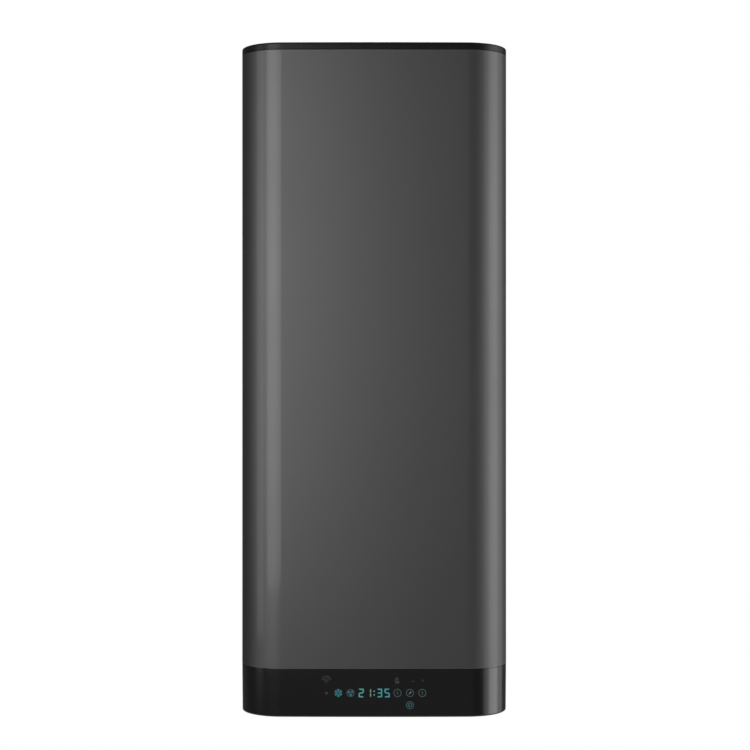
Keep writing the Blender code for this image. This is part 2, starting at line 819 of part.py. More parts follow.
def make_bracket(level_name, level):
    """Hat-section wall bracket with two slots for the wall hooks; its screws are made too."""
    half_plate = bracket_plate_height / 2
    half_height = half_plate + bracket_flange_height
    seat = back_y + fit_gap
    upper = [(seat, half_height), (seat + bracket_sheet, half_height),
             (seat + bracket_sheet, half_plate), (0, half_plate)]
    lower = [(y, -z) for y, z in reversed(upper)]
    inside = [(seat, -half_plate + bracket_sheet), (-bracket_sheet, -half_plate + bracket_sheet),
              (-bracket_sheet, half_plate - bracket_sheet), (seat, half_plate - bracket_sheet)]
    outline = [(y, z + level) for y, z in upper + lower + inside]
    bracket = sheet_section(f"{level_name}_wall_bracket", outline, bracket_length, zinc_steel)
    for side in (-1, 1):
        size = (slot_width, 2 * (bracket_sheet + cut_overrun), slot_height)
        boolean(bracket, box(f"{level_name}_slot_{side}", size,
                             (side * slot_spacing / 2, -bracket_sheet / 2, level)))
    screw_z = level + half_plate + bracket_flange_height / 2
    holes = []
    for side, word in ((-1, "left"), (1, "right")):
        x = side * bracket_screw_spacing / 2
        head_seat = seat + bracket_sheet + fit_gap
        screw(f"{level_name}_bracket_screw_{word}", bracket_screw_radius, bracket_screw_length,
              bracket_screw_head_radius, bracket_screw_head_height, (x, head_seat, screw_z),
              (math.pi / 2, 0, 0), zinc_steel)
        hole = rod(f"{level_name}_screw_hole_{word}", bracket_screw_radius + fit_gap,
                   -bracket_screw_length - cut_overrun, bracket_screw_length + cut_overrun,
                   steps=small_steps)
        hole.location = (x, head_seat, screw_z)
        hole.rotation_euler = (math.pi / 2, 0, 0)
        boolean(bracket, hole)
        holes.append(hole)
    return holes


def make_cap_screws():
    """Screws through the back of the casing into the bottom cap's skirt, and their holes."""
    holes = []
    z = bottom_seam_z + cap_skirt / 2
    for side, word in ((-1, "left"), (1, "right")):
        at = (side * cap_screw_spacing / 2, back_y + fit_gap, z)
        screw(f"cap_screw_{word}", cap_screw_radius, cap_screw_length, cap_screw_head_radius,
              cap_screw_head_height, at, (math.pi / 2, 0, 0), zinc_steel)
        hole = rod(f"cap_screw_hole_{word}", cap_screw_radius + fit_gap,
                   -cap_screw_length - cut_overrun, cap_screw_length + cut_overrun,
                   steps=small_steps)
        hole.location = at
        hole.rotation_euler = (math.pi / 2, 0, 0)
        holes.append(hole)
    return holes


def make_power_tray():
    """Open tray on four feet for the power board and the thermal cut-out."""
    tray = box("power_tray", (tray_length, tray_width, tray_height),
               (0, tray_y, tray_floor_z + tray_height / 2), cream_plastic)
    top = tray_floor_z + tray_height
    inside_width = tray_width - 2 * tray_wall
    pockets = [("board_pocket", board_pocket_length, inside_width, board_x,
                top - board_pocket_depth),
               ("board_underside", board_pocket_length - 2 * tray_ledge,
                inside_width - 2 * tray_ledge, board_x, tray_inside_z),
               ("cutout_pocket", cutout_length + 2 * board_clearance,
                cutout_width + 2 * board_clearance, cutout_x, tray_inside_z)]
    for name, length, width, x, low in pockets:
        high = top + cut_overrun
        boolean(tray, box(name, (length, width, high - low), (x, tray_y, (low + high) / 2)))
    boolean(tray, rod("tray_button_hole", button_radius + button_tray_clearance,
                      tray_floor_z - cut_overrun, tray_inside_z + cut_overrun,
                      at=(cutout_x, tray_y), steps=small_steps))
    for side in (-1, 1):
        for end in (-1, 1):
            at = (side * (tray_length / 2 - tray_foot_radius),
                  tray_y + end * (tray_width / 2 - tray_foot_radius))
            foot = rod(f"tray_foot_{side}_{end}", tray_foot_radius - fuse_overlap,
                       floor_top_z + fit_gap, tray_floor_z + fuse_overlap, at=at,
                       steps=small_steps)
            boolean(tray, foot, "UNION")
    return tray


def make_power_board():
    """Power board with its relays, transformer, capacitor and terminal strip."""
    board = box("power_board", (board_length, board_width, board_thickness),
                (board_x, tray_y, board_z + board_thickness / 2), board_green)
    top = board_z + board_thickness - fuse_overlap
    terminal_y = tray_y + board_width / 2 - terminal_size[1] / 2 - fuse_overlap
    fitted = [(f"relay_{index}", relay_size, share, tray_y - board_width / 4)
              for index, share in enumerate(relay_place_shares)]
    fitted.append(("transformer", transformer_size, transformer_place_share, tray_y))
    fitted.append(("terminals", terminal_size, relay_place_shares[1], terminal_y))
    for name, size, share, y in fitted:
        at = (board_x + share * board_length, y, top + size[2] / 2)
        boolean(board, box(name, size, at), "UNION")
    at = (board_x + capacitor_place_share * board_length, tray_y)
    boolean(board, rod("capacitor", capacitor_radius, top, top + capacitor_height, at=at,
                       steps=small_steps), "UNION")
    return board


def make_cutout():
    """Thermal cut-out with four tabs and a bore for its reset button."""
    size = (cutout_length, cutout_width, cutout_height)
    body = rounded(box("thermal_cutout", size, (cutout_x, tray_y, cutout_z + cutout_height / 2),
                       white_plastic), cutout_edge)
    for side in (-1, 1):
        for end in (-1, 1):
            tab = (cutout_tab_thickness, cutout_tab_width, cutout_tab_height)
            at = (cutout_x + side * cutout_tab_place_share * cutout_length,
                  tray_y + end * cutout_tab_place_share * cutout_width,
                  cutout_z + cutout_height + cutout_tab_height / 2 - fuse_overlap)
            boolean(body, box(f"cutout_tab_{side}_{end}", tab, at), "UNION")
    bore_top = cutout_z + button_in_bore + button_travel + button_end_room
    boolean(body, rod("button_bore", button_radius + fit_gap, cutout_z - cut_overrun, bore_top,
                      at=(cutout_x, tray_y), steps=small_steps))
    return body


def make_reset_button():
    """Button that is pressed upward to reset the cut-out; its origin is on its slide axis."""
    low = -button_below_tray - tray_floor - fit_gap
    profile = ((0, button_in_bore), (button_radius, button_in_bore),
               (button_radius, low + button_edge), (button_radius - button_edge, low), (0, low))
    return turned("reset_button", profile, red_plastic, (cutout_x, tray_y, cutout_z),
                  steps=small_steps)


def make_display():
    """Display board, digit module, light guides and touch film behind the cap's front wall."""
    board = box("display_board", (display_board_length, board_thickness, display_board_height),
                (0, display_board_y, display_z), board_green)
    for side in (-1, 1):
        for row in (-1, 1):
            hole = rod(f"stake_hole_{side}_{row}", stake_pin_radius + fit_gap,
                       -cut_overrun, cut_overrun, steps=small_steps)
            hole.location = (side * (display_board_length / 2 - stake_edge), display_board_y,
                             display_z + row * (display_board_height / 2 - stake_edge))
            hole.rotation_euler = (math.pi / 2, 0, 0)
            boolean(board, hole)
    depth = display_standoff - 2 * fit_gap
    y = cap_front_y + display_standoff / 2
    box("display_module", (display_module_length, depth, display_module_height),
        (0, y, display_z), satin_black)
    guide = box("icon_light_guide", (guide_length, depth, guide_height),
                (icon_centre_x, y, display_z), white_plastic)
    for index in (-1, 0, 1):
        boolean(guide, cell(f"icon_cell_{index}", icon_cell_radius,
                            icon_centre_x + index * key_pitch, display_z))
    film_y = cap_front_y + fit_gap + film_thickness / 2
    key_z = display_z + guide_height / 2 - key_guide_height / 2
    box("touch_film", (guide_length, film_thickness, key_guide_height),
        (key_centre_x, film_y, key_z), clear_film)
    key_depth = depth - film_thickness - fit_gap
    keys = box("key_light_guide", (guide_length, key_depth, key_guide_height),
               (key_centre_x, cap_front_y + display_standoff - fit_gap - key_depth / 2, key_z),
               white_plastic)
    for index in (-1, 0, 1):
        boolean(keys, cell(f"key_cell_{index}", key_cell_radius,
                           key_centre_x + index * key_pitch, display_z))
    boolean(keys, cell("power_key_cell", key_cell_radius, key_centre_x, display_z - key_drop))


def cell(name, radius, x, z):
    """Cutter for one lit cell of a light guide, from front to back."""
    made = rod(name, radius, -display_standoff, display_standoff, steps=small_steps)
    made.location = (x, cap_front_y + display_standoff / 2, z)
    made.rotation_euler = (math.pi / 2, 0, 0)
    return made


def make_gland():
    """Cable gland in the floor of the bottom cap, with its nut inside."""
    top, seat = floor_top_z + gland_thread_rise, bottom_z - fit_gap
    foot = seat - gland_head_height
    turned("cable_gland",
           ((gland_thread_radius, top), (gland_thread_radius, seat), (gland_head_radius, seat),
            (gland_head_radius, foot), (gland_bore_radius, foot), (gland_bore_radius, top)),
           satin_black, (0, gland_y, 0))
    nut_foot = floor_top_z + fit_gap
    nut_top = nut_foot + gland_nut_height
    nut = turned("gland_nut",
                 ((gland_nut_radius, nut_top), (gland_nut_radius, nut_foot),
                  (gland_thread_radius + fit_gap, nut_foot),
                  (gland_thread_radius + fit_gap, nut_top)), satin_black, (0, gland_y, 0))
    return nut


def make_wires():
    """Wires from the power board's terminals to the elements and the sensors, each in its lane."""
    start_y = tray_y + board_width / 2 - fuse_overlap + fit_gap
    start_z = board_z + board_thickness + terminal_size[2] / 2
    terminal_x = board_x + relay_place_shares[1] * board_length
    tail_z = flange_bottom_z - element_tail - fit_gap
    sleeve_z = flange_bottom_z - sleeve_tail
    lanes = [(side, tank, leg) for side, tank in (("left", -1), ("right", 1))
             for leg in (-1, 0, 1)]
    for index, (side, tank, leg) in enumerate(lanes):
        share = (index + 0.5) / len(lanes) - 0.5
        start = Vector((terminal_x + share * terminal_size[0], start_y, start_z))
        x = tank * tank_spacing / 2 + leg * element_half_width
        end = Vector((x, middle_y - element_forward, tail_z))
        below = end - Vector((0, 0, wire_drop))
        out = start + Vector((0, wire_drop, 0))
        route = [start, out, (out + below) / 2, below]
        if leg:
            name = f"element_wire_{side}_{'live' if leg < 0 else 'neutral'}"
            colour = wire_brown if leg < 0 else wire_blue
            tube(name, wire_route(route + [end]), element_wire_radius, colour, resolution=1)
        else:
            sleeve = Vector((x, end.y, sleeve_z))
            inside = sleeve + Vector((0, 0, sensor_into_sleeve))
            tube(f"sensor_lead_{side}", wire_route(route + [sleeve, inside]),
                 sensor_wire_radius, wire_grey, resolution=1)
    start = Vector((0, display_board_y + board_thickness / 2 + fit_gap, display_z))
    end = Vector((board_x, tray_y - board_width / 4, board_z + board_thickness + fit_gap))
    over = Vector((0, 0, wire_drop))
    out = Vector((0, wire_drop / 2, 0))
    tube("display_lead", wire_route([start, start + out, end + over, end]),
         display_wire_radius, wire_grey, resolution=1)


tank_markers = {
    "left": axis_marker("left_tank_axis", (-tank_spacing / 2, middle_y, 0)),
    "right": axis_marker("right_tank_axis", (tank_spacing / 2, middle_y, 0)),
}
cap_screw_holes = make_cap_screws()
casing = make_casing()
make_top_cap()
make_bottom_cap()
make_service_cover()
bracket_screw_holes = []
for bracket_name, bracket_level in bracket_levels.items():
    bracket_screw_holes += make_bracket(bracket_name, bracket_level)
for screw_hole in cap_screw_holes + bracket_screw_holes:
    boolean(casing, screw_hole)
made_tanks = {side: make_tank(side, marker) for side, marker in tank_markers.items()}
cut_tank_passages(made_tanks)
for tank_side_name, tank_marker in tank_markers.items():
    make_flange_set(tank_side_name, tank_marker)
make_transfer_pipe()
make_nipple("hot", -nipple_spacing / 2, red_plastic)
make_nipple("cold", nipple_spacing / 2, blue_plastic)
make_standpipe(-nipple_spacing / 2)
make_diffuser(nipple_spacing / 2)
make_foam(bracket_screw_holes)
make_gland()
make_power_tray()
make_power_board()
make_cutout()
make_reset_button()
make_display()
make_wires()
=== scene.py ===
"""Looks of the flat wall-hung storage water heater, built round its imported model.

Lengths are in metres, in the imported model's frame: the front faces -Y and +Z is up.
"""
import json
import math

import bmesh
import bpy
from mathutils import Matrix, Vector


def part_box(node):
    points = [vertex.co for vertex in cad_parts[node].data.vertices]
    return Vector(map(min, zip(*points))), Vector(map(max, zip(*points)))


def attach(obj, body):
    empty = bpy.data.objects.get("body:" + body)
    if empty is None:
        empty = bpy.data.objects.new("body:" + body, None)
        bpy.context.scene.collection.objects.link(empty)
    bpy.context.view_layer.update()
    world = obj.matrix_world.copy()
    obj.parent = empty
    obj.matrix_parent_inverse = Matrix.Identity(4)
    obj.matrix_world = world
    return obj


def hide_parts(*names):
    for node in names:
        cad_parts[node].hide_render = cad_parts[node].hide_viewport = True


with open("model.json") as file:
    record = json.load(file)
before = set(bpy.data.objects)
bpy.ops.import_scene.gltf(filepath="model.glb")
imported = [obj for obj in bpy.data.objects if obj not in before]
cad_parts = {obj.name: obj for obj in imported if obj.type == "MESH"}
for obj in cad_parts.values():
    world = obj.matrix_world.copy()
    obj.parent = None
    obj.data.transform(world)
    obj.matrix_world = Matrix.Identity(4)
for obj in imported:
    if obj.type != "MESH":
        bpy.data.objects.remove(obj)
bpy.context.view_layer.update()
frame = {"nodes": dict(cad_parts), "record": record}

casing_low, casing_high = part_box("casing")
top_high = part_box("top_cap")[1]
bottom_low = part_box("bottom_cap")[0]
cover_low, cover_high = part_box("service_cover")
gland_low, gland_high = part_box("cable_gland")
button_low, button_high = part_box("reset_button")

# Body, as seen in plan
half_width = casing_high.x
back_y = casing_high.y
front_y = casing_low.y
middle_y = (front_y + back_y) / 2
corner_radius = 0.076
front_crown = 0.0015
straight_x = half_width - corner_radius
corner_steps = 28
crown_steps = 24

# Largest angle between faces that are shaded as one
smooth_angle = 30
casing_smooth_angle = 35
nipple_smooth_angle = 50

# Casing sheet
sheet_wall = 0.0006
edge_support = 0.004
seam_centre_x = 0.157
seam_half_width = 0.0035
seam_proud = 0.0007

# End caps
cap_wall = 0.0025
cap_floor = 0.003
cap_skirt = 0.01
skirt_inset = 0.0009
cap_fillet = 0.003
cap_draft = 0.0007
cap_lip = 0.0002
cap_groove = 0.0007
cap_hole_steps = 48
top_seam_drop = 0.0012
bottom_seam_rise = 0.0006
fillet_steps = 8
fit_gap = 0.0003

# Display glyphs on the bottom cap's front, placed from its lower edge
display_rise = 0.0432
upper_row_rise = 0.0221
lower_row_drop = 0.0217
glyph_proud = 0.00006
glyph_layer = 0.00004
glyph_sunk = 0.00012
digit_height = 0.0154
digit_width = 0.0094
digit_stroke = 0.0022
digit_gap = 0.00015
digit_centres = (-0.023, -0.0101, 0.0096, 0.0231)
digit_values = "2135"
colon_x = 0
colon_radius = 0.0014
colon_rise = 0.0033
colon_steps = 20
frost_x, fan_x = -0.0636, -0.0419
key_xs = (0.0415, 0.0637, 0.0856)
faint_xs = (-0.0849, 0.0694, 0.086)
disc_radius = 0.007
ring_stroke = 0.0011
thin_stroke = 0.0009
chevron_size = 0.0026
drop_size = 0.0052
sun_radius = 0.0044
star_radius = 0.0034
round_steps = 40
power_sign_share = 0.5
merge_distance = 0.000002

# Frost sign, as shares of its disc's radius and of the thin stroke
frost_arms = 6
frost_hub, frost_reach, frost_barb = 0.3, 0.9, 0.22
frost_arm_stroke, frost_barb_stroke = 1.1, 0.8

# Fan blades: lengths as shares of the disc's radius, or of the blade's reach for its root
blade_count = 3
blade_steps = 8
blade_reach = 0.76
blade_root = 0.2
blade_half_width = 0.62
blade_bow_start, blade_bow_span = 0.12, 0.76
blade_sweep = 0.5
blade_turn = 15

# Slanting arrow, as shares of the chevron's size and then of the arrow's reach
arrow_reach = 0.85
arrow_shaft_end, arrow_tip, arrow_barb = 0.6, 1.1, 0.3

# Drop over a wave, as shares of its size; angles in degrees
drop_steps = 12
drop_first_angle, drop_sweep = 40, 260
drop_bow_radius, drop_bow_rise = 0.52, 0.1
wave_strokes = 4
wave_start, wave_stroke, wave_rise, wave_drop = 0.6, 0.4, 0.2, 0.75

# Sun and star, as shares of their radius; angles in degrees
sun_disc_share = 0.9
ray_start, ray_end, ray_stroke = 1.3, 2.1, 0.8
ray_count = 5
ray_first_angle, ray_step_angle = 20, 35
star_points = 5
star_notch = 0.42

# Water nipples and their coloured rings under the cap
nipple_radius = 0.0105
nipple_bore = 0.0075
nipple_clearance = 0.0015
ring_clearance = 0.0003
ring_edge = 0.0006
ring_edge_middle = 0.3
ring_steps = 72
thread_pitch = 0.00181
thread_depth = 0.0011
thread_start = 0.0035
thread_lead = 0.0006
thread_end_step = 0.0002
thread_crest_gain = 1.25
thread_end_share = 0.5
thread_steps = 48
thread_rows_per_turn = 12

# Cable gland between the nipples
gland_thread_radius = 0.008
gland_bore = 0.0048
gland_insert_radius = 0.0066
gland_insert_depth = 0.006
gland_insert_recess = 0.0003
gland_flat_radius = 0.0107
gland_waist_radius = 0.0094
gland_dome_radius = 0.0104
gland_flute_depth = 0.0005
gland_flutes = 12
gland_mouth_radius = 0.0074
gland_steps = 120
gland_dome_steps = 5

# The gland's levels, as shares of the way down from its seat to its foot
gland_flats_start, gland_flats_end, gland_flats_foot = 0.05, 0.42, 0.47
gland_waist_start, gland_waist_end = 0.48, 0.52
gland_dome_start, gland_dome_round = 0.53, 0.8

# Service cover in the cap's floor
cover_corner = 0.004
cover_corner_steps = 8
cover_bevel = 0.0003
cover_recess = 0.0015
cover_hole_length = 0.04
cover_hole_width = 0.032

# Screw heads, as shares of the head's radius
head_height_share = 0.46
shaft_share = 0.48
head_profile = ((0.97, 1), (1, 0.8), (0.94, 0.4), (0.72, 0.12), (0.36, 0))
cross_reach_share = 0.56
cross_half_width_share = 0.13
cross_depth_share = 0.3
cross_taper = 0.45
screw_steps = 40
screw_turn_step = 0.7
cover_screw_turn = 0.5

# Wall brackets
bracket_sheet = 0.002
bracket_flange = 0.016
bracket_bend = 0.0026
bracket_bend_steps = 6
bracket_edge = 0.00025
bracket_edge_angle = 50
slot_x = 0.11
slot_width = 0.01
slot_height = 0.024
slot_steps = 12

# Reset button
button_edge = 0.0008
button_edge_steps = 5
button_steps = 32

# A noise is given by its cycles per metre, detail and roughness, and a range by the noise's values
# where a look starts and is full

# Wear along edges: how far an edge sticks out where it starts and is full, its patches, its
# largest share, what it adds to the roughness, and by how much it lightens the colour
wear_reach = (0.52, 0.6)
wear_patches = (90, 3, 0.6)
wear_patch_least, wear_patch_range = 0.25, (0.35, 0.6)
wear_most, wear_rough, wear_tone = 0.6, 0.12, 1.35

# Plain finishes: detail and roughness of their noises, and the range of the mottling
mottle_kind, grain_kind = (4, 0.6), (2, 0.5)
mottle_range = (0.3, 0.7)

# Graphite paint
paint_flake, paint_cloud, paint_peel = (2600, 2, 0.6), (3.5, 4, 0.55), (260, 2, 0.4)
paint_flake_range = (0.35, 0.65)
paint_dark, paint_light = (0.099, 0.099, 0.101), (0.121, 0.121, 0.123)
paint_worn = (0.19, 0.19, 0.19)
paint_wear_most, paint_wear_rough = 0.5, 0.08
paint_rough = (0.514, 0.554)
paint_edge_tint = (0.42, 0.42, 0.42, 1)
paint_coat, paint_coat_rough = 0.225, 0.08
flake_height, flake_strength = 0.000004, 0.5
peel_height, peel_strength = 0.000008, 0.6

# Gloss plastic: specular level, shade and range of roughness of each finish; tones as shares of
# the shade; wiping marks drawn out sideways
gloss_looks = {"gloss_black_finish": (0.72, 0.002, (0.2, 0.24)),
               "top_black_finish": (0.26, 0.0065, (0.3, 0.34))}
gloss_cloud, gloss_wiped, gloss_wave = (9, 5, 0.6), (60, 3, 0.6), (28, 2, 0.4)
gloss_cloud_range, gloss_wiped_range = (0.35, 0.7), (0.3, 0.75)
gloss_wiped_stretch = (1, 1, 9)
gloss_dark, gloss_light = (0.85, 0.85, 0.88), (1.15, 1.15, 1.18)
gloss_worn = (0.01, 0.01, 0.01)
gloss_wear_most, gloss_wear_rough = 0.4, 0.1
gloss_wave_height, gloss_wave_strength = 0.00003, 0.3

# Light of the glyphs
glyph_patches, glyph_patch_range = (420, 2, 0.5), (0.3, 0.7)
glyph_strength, glyph_rough = (0.85, 1.15), (0.16, 0.2)
glyph_under = (0.006, 0.006, 0.006, 1)

# Camera, from the perspective in the photograph; its lens and sensor are in millimetres
camera_distance = 3.0826
camera_lens = 83.3
camera_sensor = 36
camera_height_above_middle = 0.0081
camera_shift_right = 0.0015

# Stage: the room's light level, and the white backdrop's edge in degrees from the +Y axis
floor_z = -1.9
floor_radius = 3.2
floor_steps = 96
floor_colour = (0.8, 0.8, 0.8, 1)
floor_near_glow, floor_fade_start = 0.8, 0.5
room_level = 0.09
backdrop_angle = 18
backdrop_full_share = 0.8

# Lamps: azimuth from the front towards the right and elevation, in degrees; distance from the
# middle of the casing, height above it, width and height of the soft box; radiance
lamps = {
    "key_lamp": (-29, 0, 1.57, 0.3, 0.95, 1.75, 3.4),
    "left_lamp": (-66, 0, 1.8, 0.12, 0.6, 1.7, 1.98),
    "side_lamp": (82, 0, 1.87, 0, 0.95, 2.6, 1.93),
    "side_glow": (86, 0, 1.95, 0, 2.5, 2.6, 0.95),
    "fill_lamp": (10, -25, 2.4, 0, 1.2, 1.2, 0.06),
    "rear_lamp": (180, 50, 2.6, 0, 2.2, 1.6, 3.2),
}


def wire(made, **values):
    """Give a node its settings, and its inputs their values or the outputs that feed them."""
    for name, value in values.items():
        if hasattr(made, name):
            setattr(made, name, value)
            continue
        socket = made.inputs[name.replace("_", " ")]
        if isinstance(value, bpy.types.NodeSocket):
            made.id_data.links.new(value, socket)
        else:
            socket.default_value = value
    return made


def node(tree, kind, **values):
    """New shader node of a kind, wired."""
    return wire(tree.nodes.new(kind), **values)


def ramp(tree, source, low, high, from_low=0, from_high=1):
    """Value of the source mapped from one range to another."""
    return node(tree, "ShaderNodeMapRange", Value=source, From_Min=from_low, From_Max=from_high,
                To_Min=low, To_Max=high).outputs["Result"]


def noise(tree, place, scale, detail, roughness, stretch=(1, 1, 1)):
    """Noise of real size: its scale is in cycles per metre, times the stretch along each axis."""
    stretched = node(tree, "ShaderNodeMapping", Vector=place, Scale=stretch).outputs["Vector"]
    return node(tree, "ShaderNodeTexNoise", Vector=stretched, Scale=scale, Detail=detail,
                Roughness=roughness).outputs["Fac"]


def mixed(tree, share, first, second):
    """Colour between two colours, of which the first can be another node's."""
    made = node(tree, "ShaderNodeMix", data_type="RGBA")
    if isinstance(first, tuple):
        made.inputs[6].default_value = (*first, 1)
    else:
        tree.links.new(first, made.inputs[6])
    made.inputs[7].default_value = (*second, 1)
    tree.links.new(share, made.inputs[0])
    return made.outputs[2]


def reckoned(tree, operation, first, second):
    """Result of a sum or product of two values."""
    made = node(tree, "ShaderNodeMath", operation=operation)
    tree.links.new(first, made.inputs[0])
    tree.links.new(second, made.inputs[1])
    return made.outputs[0]


def blended(tree, share, first, second):
    """Shader between two shaders."""
    made = node(tree, "ShaderNodeMixShader", Fac=share)
    tree.links.new(first, made.inputs[1])
    tree.links.new(second, made.inputs[2])
    return made.outputs["Shader"]


def edge_wear(tree, place, most):
    """Share of wear, up to the most: in patches along the outer edges, none on flat faces."""
    bend = tree.nodes.new("ShaderNodeNewGeometry").outputs["Pointiness"]
    along = ramp(tree, bend, 0, most, *wear_reach)
    patches = ramp(tree, noise(tree, place, *wear_patches), wear_patch_least, 1,
                   *wear_patch_range)
    return reckoned(tree, "MULTIPLY", along, patches)


def weather(tree, shader, wear, colour, worn, source, rough, span, rougher):
    """Give the shader its colour, and its roughness from a noise, each changed by the wear."""
    wire(shader, Base_Color=mixed(tree, wear, colour, worn))
    uneven = ramp(tree, source, *rough, *span)
    wire(shader, Roughness=reckoned(tree, "ADD", uneven, ramp(tree, wear, 0, rougher)))


def bumped(tree, height, distance, strength=1, under=None):
    """Normal bent by a height."""
    made = node(tree, "ShaderNodeBump", Height=height, Distance=distance, Strength=strength)
    if under:
        wire(made, Normal=under)
    return made.outputs["Normal"]


def blank(name):
    """New material with its tree, its shader and the piece's own coordinates."""
    made = bpy.data.materials.new(name)
    made.use_nodes = True
    tree = made.node_tree
    shader = tree.nodes["Principled BSDF"]
    place = tree.nodes.new("ShaderNodeTexCoord").outputs["Object"]
    return made, tree, shader, place


def finish(name, dark, light, rough, metallic=0, mottle=40, grain=1500, grain_height=0.00002,
           stretch=(1, 1, 1)):
    """Material whose colour is mottled, whose roughness varies and whose surface is grained."""
    made, tree, shader, place = blank(name)
    cloud = noise(tree, place, mottle, *mottle_kind)
    fine = noise(tree, place, grain, *grain_kind, stretch)
    wear = edge_wear(tree, place, wear_most)
    mottled = mixed(tree, ramp(tree, cloud, 0, 1, *mottle_range), dark, light)
    rubbed = tuple(min(1, part * wear_tone) for part in light)
    weather(tree, shader, wear, mottled, rubbed, cloud, rough, mottle_range, wear_rough)
    wire(shader, Normal=bumped(tree, fine, grain_height))
    shader.inputs["Metallic"].default_value = metallic
    return made


def paint_material():
    """Graphite metallic paint on sheet steel: fine flake, faint orange peel, faint handling."""
    made, tree, shader, place = blank("graphite_paint_finish")
    flake = noise(tree, place, *paint_flake)
    cloud = noise(tree, place, *paint_cloud)
    peel = noise(tree, place, *paint_peel)
    wear = edge_wear(tree, place, paint_wear_most)
    colour = mixed(tree, ramp(tree, flake, 0, 1, *paint_flake_range), paint_dark, paint_light)
    weather(tree, shader, wear, colour, paint_worn, cloud, paint_rough, mottle_range,
            paint_wear_rough)
    flaked = bumped(tree, flake, flake_height, flake_strength)
    wire(shader, Normal=bumped(tree, peel, peel_height, peel_strength, flaked))
    shader.inputs["Metallic"].default_value = 1
    shader.inputs["Specular Tint"].default_value = paint_edge_tint
    shader.inputs["Coat Weight"].default_value = paint_coat
    shader.inputs["Coat Roughness"].default_value = paint_coat_rough
    return made


def gloss_material(name):
    """Gloss black moulded plastic with faint wiping marks."""
    specular, shade, rough = gloss_looks[name]
    made, tree, shader, place = blank(name)
    cloud = noise(tree, place, *gloss_cloud)
    wiped = noise(tree, place, *gloss_wiped, gloss_wiped_stretch)
    dark, light = (tuple(shade * part for part in tone) for tone in (gloss_dark, gloss_light))
    colour = mixed(tree, ramp(tree, cloud, 0, 1, *gloss_cloud_range), dark, light)
    wear = edge_wear(tree, place, gloss_wear_most)
    weather(tree, shader, wear, colour, gloss_worn, wiped, rough, gloss_wiped_range,
            gloss_wear_rough)
    shader.inputs["Specular IOR Level"].default_value = specular
    waves = noise(tree, place, *gloss_wave)
    wire(shader, Normal=bumped(tree, waves, gloss_wave_height, gloss_wave_strength))
    return made


def glyph_material(name, left, right=None, middle_x=0, half_span=0.007):
    """Lit symbol under the cap's gloss: its light changes a little along it and is uneven."""
    made, tree, shader, place = blank(name)
    split = node(tree, "ShaderNodeSeparateXYZ", Vector=place)
    along = ramp(tree, split.outputs["X"], 0, 1, middle_x - half_span, middle_x + half_span)
    uneven = noise(tree, place, *glyph_patches)
    wire(shader, Emission_Color=mixed(tree, along, left, right or left))
    wire(shader, Emission_Strength=ramp(tree, uneven, *glyph_strength, *glyph_patch_range))
    shader.inputs["Base Color"].default_value = glyph_under
    wire(shader, Roughness=ramp(tree, uneven, *glyph_rough))
    return made


# Finish of each material slot: darker and lighter colour, lowest and highest roughness, the rest
finishes = {
    "satin_black": ((0.016, 0.016, 0.017), (0.024, 0.024, 0.026), (0.38, 0.5),
                    {"grain_height": 0.00003}),
    "zinc_steel": ((0.42, 0.43, 0.45), (0.6, 0.6, 0.6), (0.28, 0.46),
                   {"metallic": 1, "mottle": 120, "grain": 700, "grain_height": 0.00001,
                    "stretch": (1, 1, 12)}),
    "enamel": ((0.02, 0.045, 0.1), (0.045, 0.08, 0.15), (0.12, 0.3),
               {"mottle": 30, "grain": 500, "grain_height": 0.00004}),
    "foam": ((0.6, 0.48, 0.24), (0.78, 0.66, 0.4), (0.85, 0.95),
             {"mottle": 60, "grain": 1100, "grain_height": 0.0003}),
    "copper": ((0.6, 0.28, 0.16), (0.78, 0.42, 0.28), (0.22, 0.4),
               {"metallic": 1, "mottle": 70, "grain": 600, "stretch": (1, 1, 0.1)}),
    "magnesium": ((0.42, 0.42, 0.41), (0.6, 0.6, 0.58), (0.45, 0.65),
                  {"metallic": 1, "mottle": 90, "grain": 800}),
    "rubber": ((0.018, 0.018, 0.018), (0.03, 0.03, 0.03), (0.7, 0.85),
               {"grain": 1800, "grain_height": 0.00004}),
    "red_plastic": ((0.4, 0.012, 0.01), (0.5, 0.02, 0.016), (0.34, 0.44), {}),
    "blue_plastic": ((0.012, 0.06, 0.36), (0.02, 0.09, 0.46), (0.34, 0.44), {}),
    "white_plastic": ((0.68, 0.68, 0.66), (0.78, 0.78, 0.76), (0.36, 0.46), {}),
    "cream_plastic": ((0.55, 0.51, 0.41), (0.64, 0.6, 0.5), (0.45, 0.55), {"grain": 1300}),
    "board_green": ((0.01, 0.11, 0.035), (0.02, 0.17, 0.06), (0.3, 0.42),
                    {"mottle": 300, "grain": 2200}),
    "clear_film": ((0.42, 0.33, 0.13), (0.52, 0.42, 0.2), (0.2, 0.32), {"grain": 900}),
    "wire_brown": ((0.11, 0.04, 0.015), (0.17, 0.065, 0.025), (0.42, 0.52), {"grain": 1400}),
    "wire_blue": ((0.02, 0.09, 0.4), (0.035, 0.13, 0.52), (0.42, 0.52), {"grain": 1400}),
    "wire_grey": ((0.25, 0.25, 0.25), (0.34, 0.34, 0.34), (0.42, 0.52), {"grain": 1400}),
}
materials = {"graphite_paint": paint_material(),
             "gloss_black": gloss_material("gloss_black_finish")}
for slot_name, (*looks, rest) in finishes.items():
    materials[slot_name] = finish(f"{slot_name}_finish", *looks, **rest)

